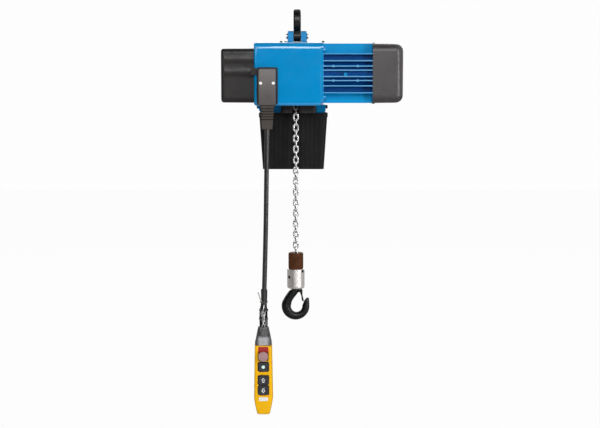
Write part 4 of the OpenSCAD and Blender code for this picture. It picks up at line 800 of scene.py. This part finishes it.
# The stop key's pinkish grey is red with a painted sheen mixed into the colour
stop_pink = finish("stop_cap", (0.40, 0.235, 0.24), rough=0.42, mottle=0.14, mottle_size=0.005,
                   grain=0.0006, bump=0.00005, edge_scuff_and_highlight=(0.52, 0.36, 0.35))
key_dark = finish("key_rubber", (0.028, 0.027, 0.034), rough=0.45, mottle=0.2, mottle_size=0.006,
                  grain=0.0005, bump=0.00005, edge_scuff_and_highlight=(0.1, 0.1, 0.12))
# Painted shadow: the stop plate is near black beside and below the stop key's head, red above
signal_red = finish("red_plate", (0.045, 0.010, 0.006), rough=0.4, mottle=0.12, mottle_size=0.006,
                    grain=0.0005, bump=0.00003,
                    shade=height_split(STOP_Z + 10, 3, (0.40, 0.014, 0.012)))
mark_white = finish("mark_white", (0.86, 0.88, 0.88), rough=0.5, mottle=0.06, mottle_size=0.003,
                    grain=0.0004, bump=0.00002)
collar = finish("pendant_collar", (0.42, 0.42, 0.44), rough=0.5, mottle=0.14, mottle_size=0.012,
                grain=0.0006, bump=0.00005, edge_scuff_and_highlight=(0.4, 0.4, 0.41), shade=collar_bands)
mark_green = finish("mark_green", (0.66, 0.92, 0.84), rough=0.5, mottle=0.06, mottle_size=0.003,
                    grain=0.0004, bump=0.00002)
nylon = finish("natural_nylon", (0.5, 0.48, 0.45), rough=0.42, mottle=0.1, mottle_size=0.01,
               grain=0.0006, bump=0.00003)
tie_black = finish("tie_nylon", (0.045, 0.043, 0.042), rough=0.45, mottle=0.2, mottle_size=0.006,
                   grain=0.0006, bump=0.00004, edge_scuff_and_highlight=(0.16, 0.15, 0.14))
copper = finish("winding_copper", (0.55, 0.24, 0.1), metallic=1.0, rough=0.4, mottle=0.15,
                mottle_size=0.008, grain=0.0008, bump=0.0001, bands=("X", 0.0016, 0.0001))
laminated = finish("laminated_core", (0.3, 0.3, 0.31), metallic=1.0, rough=0.45, mottle=0.1,
                   grain=0.0005, bump=0.00002, bands=("X", 0.001, 0.00006))
friction = finish("brake_lining", (0.09, 0.08, 0.07), rough=0.8, mottle=0.3, mottle_size=0.004,
                  grain=0.0009, bump=0.0001)
ivory = finish("moulded_ivory", (0.62, 0.6, 0.54), rough=0.5, mottle=0.06, grain=0.0006, bump=0.00003)
cast_grey = finish("cast_aluminium", (0.55, 0.55, 0.55), metallic=1.0, rough=0.5, mottle=0.12,
                   grain=0.0016, bump=0.00008, edge_scuff_and_highlight=(0.75, 0.75, 0.75))

DRESS = {
    blue: ["gear_housing", "motor_flange", "flange_bolts", "end_shield"],
    fin_blue: ["motor_housing"],
    cover_black: ["control_cover"],
    cowl_black: ["fan_cowl"],
    plug_grey: ["control_plug"],
    rubber: ["plug_boot"],
    black_steel: ["pin_retainers", "bucket_bolts", "latch_pin", "plug_socket", "chain_guide",
                  "cover_screws", "cowl_screws", "block_screws", "latch"],
    steel: ["suspension_pin", "idler_shaft", "motor_shaft", "bearings", "control_panel", "pendant_screws",
            "anchor_pin", "thrust_bearing", "hook_nut", "load_wheel", "idler_gear", "output_gear"],
    bright_steel: ["plug_screws"],
    bucket_black: ["chain_bucket", "mains_gland", "fan"],
    zinc: ["slack_chain"],
    forged: ["hook", "suspension_eye"],
    aluminium: ["block_left", "block_right"],
    cast_grey: ["gearbox_plate"],
    buffer_brown: ["chain_buffer"],
    orange: ["pendant_front", "pendant_back"],
    stop_pink: ["stop_button"],
    key_dark: ["start_button", "up_button", "down_button", "contact_blocks", "contactors", "brake_coil"],
    collar: ["pendant_boot"],
    copper: ["stator_winding"],
    laminated: ["stator_core", "rotor_core"],
    friction: ["brake_disc"],
    ivory: ["terminal_block"],
}


# Shading of the frame's solids: welded, with soft shading below an angle

WELD_GAP = 0.000004


def soft_shading(degrees):
    """A node group that welds a mesh and shades it smooth, but sharp at edges over an angle."""
    group = bpy.data.node_groups.new("soft_shading", "GeometryNodeTree")
    group.interface.new_socket("Geometry", in_out="INPUT", socket_type="NodeSocketGeometry")
    group.interface.new_socket("Geometry", in_out="OUTPUT", socket_type="NodeSocketGeometry")
    source = group.nodes.new("NodeGroupInput")
    target = group.nodes.new("NodeGroupOutput")
    plain = add(group, "GeometryNodeRemoveAttribute",
                {"Geometry": source.outputs[0], "Name": "custom_normal"})
    weld = add(group, "GeometryNodeMergeByDistance", {"Geometry": plain.outputs[0], "Distance": WELD_GAP})
    faces = add(group, "GeometryNodeSetShadeSmooth",
                {"Geometry": weld.outputs[0], "Shade Smooth": True}, domain="FACE")
    angle = add(group, "GeometryNodeInputMeshEdgeAngle").outputs["Unsigned Angle"]
    sharp = add(group, "FunctionNodeCompare", {"A": angle, "B": math.radians(degrees)},
                data_type="FLOAT", operation="GREATER_THAN")
    edges = add(group, "GeometryNodeSetShadeSmooth",
                {"Geometry": faces.outputs[0], "Selection": sharp.outputs[0], "Shade Smooth": False},
                domain="EDGE")
    group.links.new(edges.outputs[0], target.inputs[0])
    return group


SHARP_ANGLE = 28
soft = soft_shading(SHARP_ANGLE)


def dress(obj, material):
    """Gives an object one material."""
    obj.data.materials.clear()
    obj.data.materials.append(material)


for material, names in DRESS.items():
    for name in names:
        dress(nodes[name], material)
        nodes[name].modifiers.new("soft_shading", "NODES").node_group = soft
        weighted = nodes[name].modifiers.new("flat_faces", "WEIGHTED_NORMAL")
        weighted.keep_sharp = True
        weighted.weight = 100

for obj, material in ((cable, cable_black), (wires, black_steel), (strands, zinc), (ties, tie_black),
                      (tail, nylon), (chain_top, zinc), (chain_run, zinc), (chain_end, zinc),
                      (red_plate, signal_red), (label, mark_white), (top_screws, black_steel)):
    dress(obj, material)
for obj, material in zip(marks, (mark_green, mark_white, mark_white)):
    dress(obj, material)
for obj in key_plates:
    dress(obj, key_dark)


# Studio: pale floor, white surround, soft lamps

def lamp(name, place, target, size, power):
    """A white rectangular lamp, in metres and watts, turned to a target."""
    data = bpy.data.lights.new(name, "AREA")
    data.shape = "RECTANGLE"
    data.size, data.size_y = size
    data.energy = power
    obj = bpy.data.objects.new(name, data)
    obj.location = place
    obj.rotation_euler = (Vector(target) - Vector(place)).to_track_quat("-Z", "Y").to_euler()
    scene.collection.objects.link(obj)


lamp("key", (0.0, -4.2, 1.6), (0, 0, -0.3), (2.4, 2.3), 118)
lamp("fill", (0.3, -2.6, -1.5), (0, 0, -0.9), (1.2, 0.8), 15)
lamp("left", (-2.8, 0.8, 0.4), (0, 0, -0.4), (0.8, 1.4), 14)
lamp("right", (2.3, -2.3, -0.1), (0, 0, -0.3), (0.36, 1.8), 40)
lamp("back", (0.3, 3.6, 1.2), (0, 0, -0.3), (2.4, 1.8), 60)

SEEN_WHITE = 0.985
world = bpy.data.worlds.new("studio")
scene.world = world
world.use_nodes = True
sky = world.node_tree
background = sky.nodes["Background"]
toward = add(sky, "ShaderNodeTexCoord").outputs["Generated"]
side, depth, _ = coordinates(sky, toward)
ambient = span(sky, depth, -0.6, 0.6, 0.13, 0.26)
path = add(sky, "ShaderNodeLightPath")
behind = span(sky, depth, 0.0, 0.3, 0.015, 0.9)
beside = span(sky, side, -0.5, 0.1, 0.3, 1.0)
right_wall = span(sky, side, 0.15, 0.5, 0.0, 0.9)
mirrored = maths(sky, "MAXIMUM", product(sky, behind, beside), right_wall)
bounced = add(sky, "ShaderNodeMix",
              {"Factor": path.outputs["Is Glossy Ray"], "A": ambient, "B": mirrored})
light = add(sky, "ShaderNodeMix",
            {"Factor": path.outputs["Is Camera Ray"], "A": bounced.outputs["Result"], "B": SEEN_WHITE})
background.inputs["Color"].default_value = (1, 1, 1, 1)
sky.links.new(light.outputs["Result"], background.inputs["Strength"])

FLOOR_GAP = 0.12
FLOOR_HALF = 8
FLOOR_GLOW = 0.965
floor_z = cad_box[0].z - FLOOR_GAP
floor_mesh = bpy.data.meshes.new("floor")
floor_corners = [(FLOOR_HALF * x, FLOOR_HALF * y, floor_z)
                 for x, y in ((-1, -1), (1, -1), (1, 1), (-1, 1))]
floor_mesh.from_pydata(floor_corners, [], [(0, 1, 2, 3)])
floor = bpy.data.objects.new("floor", floor_mesh)
scene.collection.objects.link(floor)
floor_paint = bpy.data.materials.new("floor_paint")
floor_paint.use_nodes = True
tree = floor_paint.node_tree
matt = tree.nodes["Principled BSDF"]
where = add(tree, "ShaderNodeTexCoord").outputs["Object"]
paint = mixed(tree, noise(tree, where, 0.5), (0.54, 0.54, 0.54), (0.58, 0.58, 0.58))
tree.links.new(paint, matt.inputs["Base Color"])
matt.inputs["Roughness"].default_value = 0.9
glow = add(tree, "ShaderNodeEmission", {"Color": (1, 1, 1, 1), "Strength": 1.0})
seen = add(tree, "ShaderNodeLightPath").outputs["Is Camera Ray"]
blend = add(tree, "ShaderNodeMixShader",
            {0: product(tree, seen, FLOOR_GLOW), 1: matt.outputs[0], 2: glow.outputs[0]})
tree.links.new(blend.outputs[0], tree.nodes["Material Output"].inputs["Surface"])
dress(floor, floor_paint)
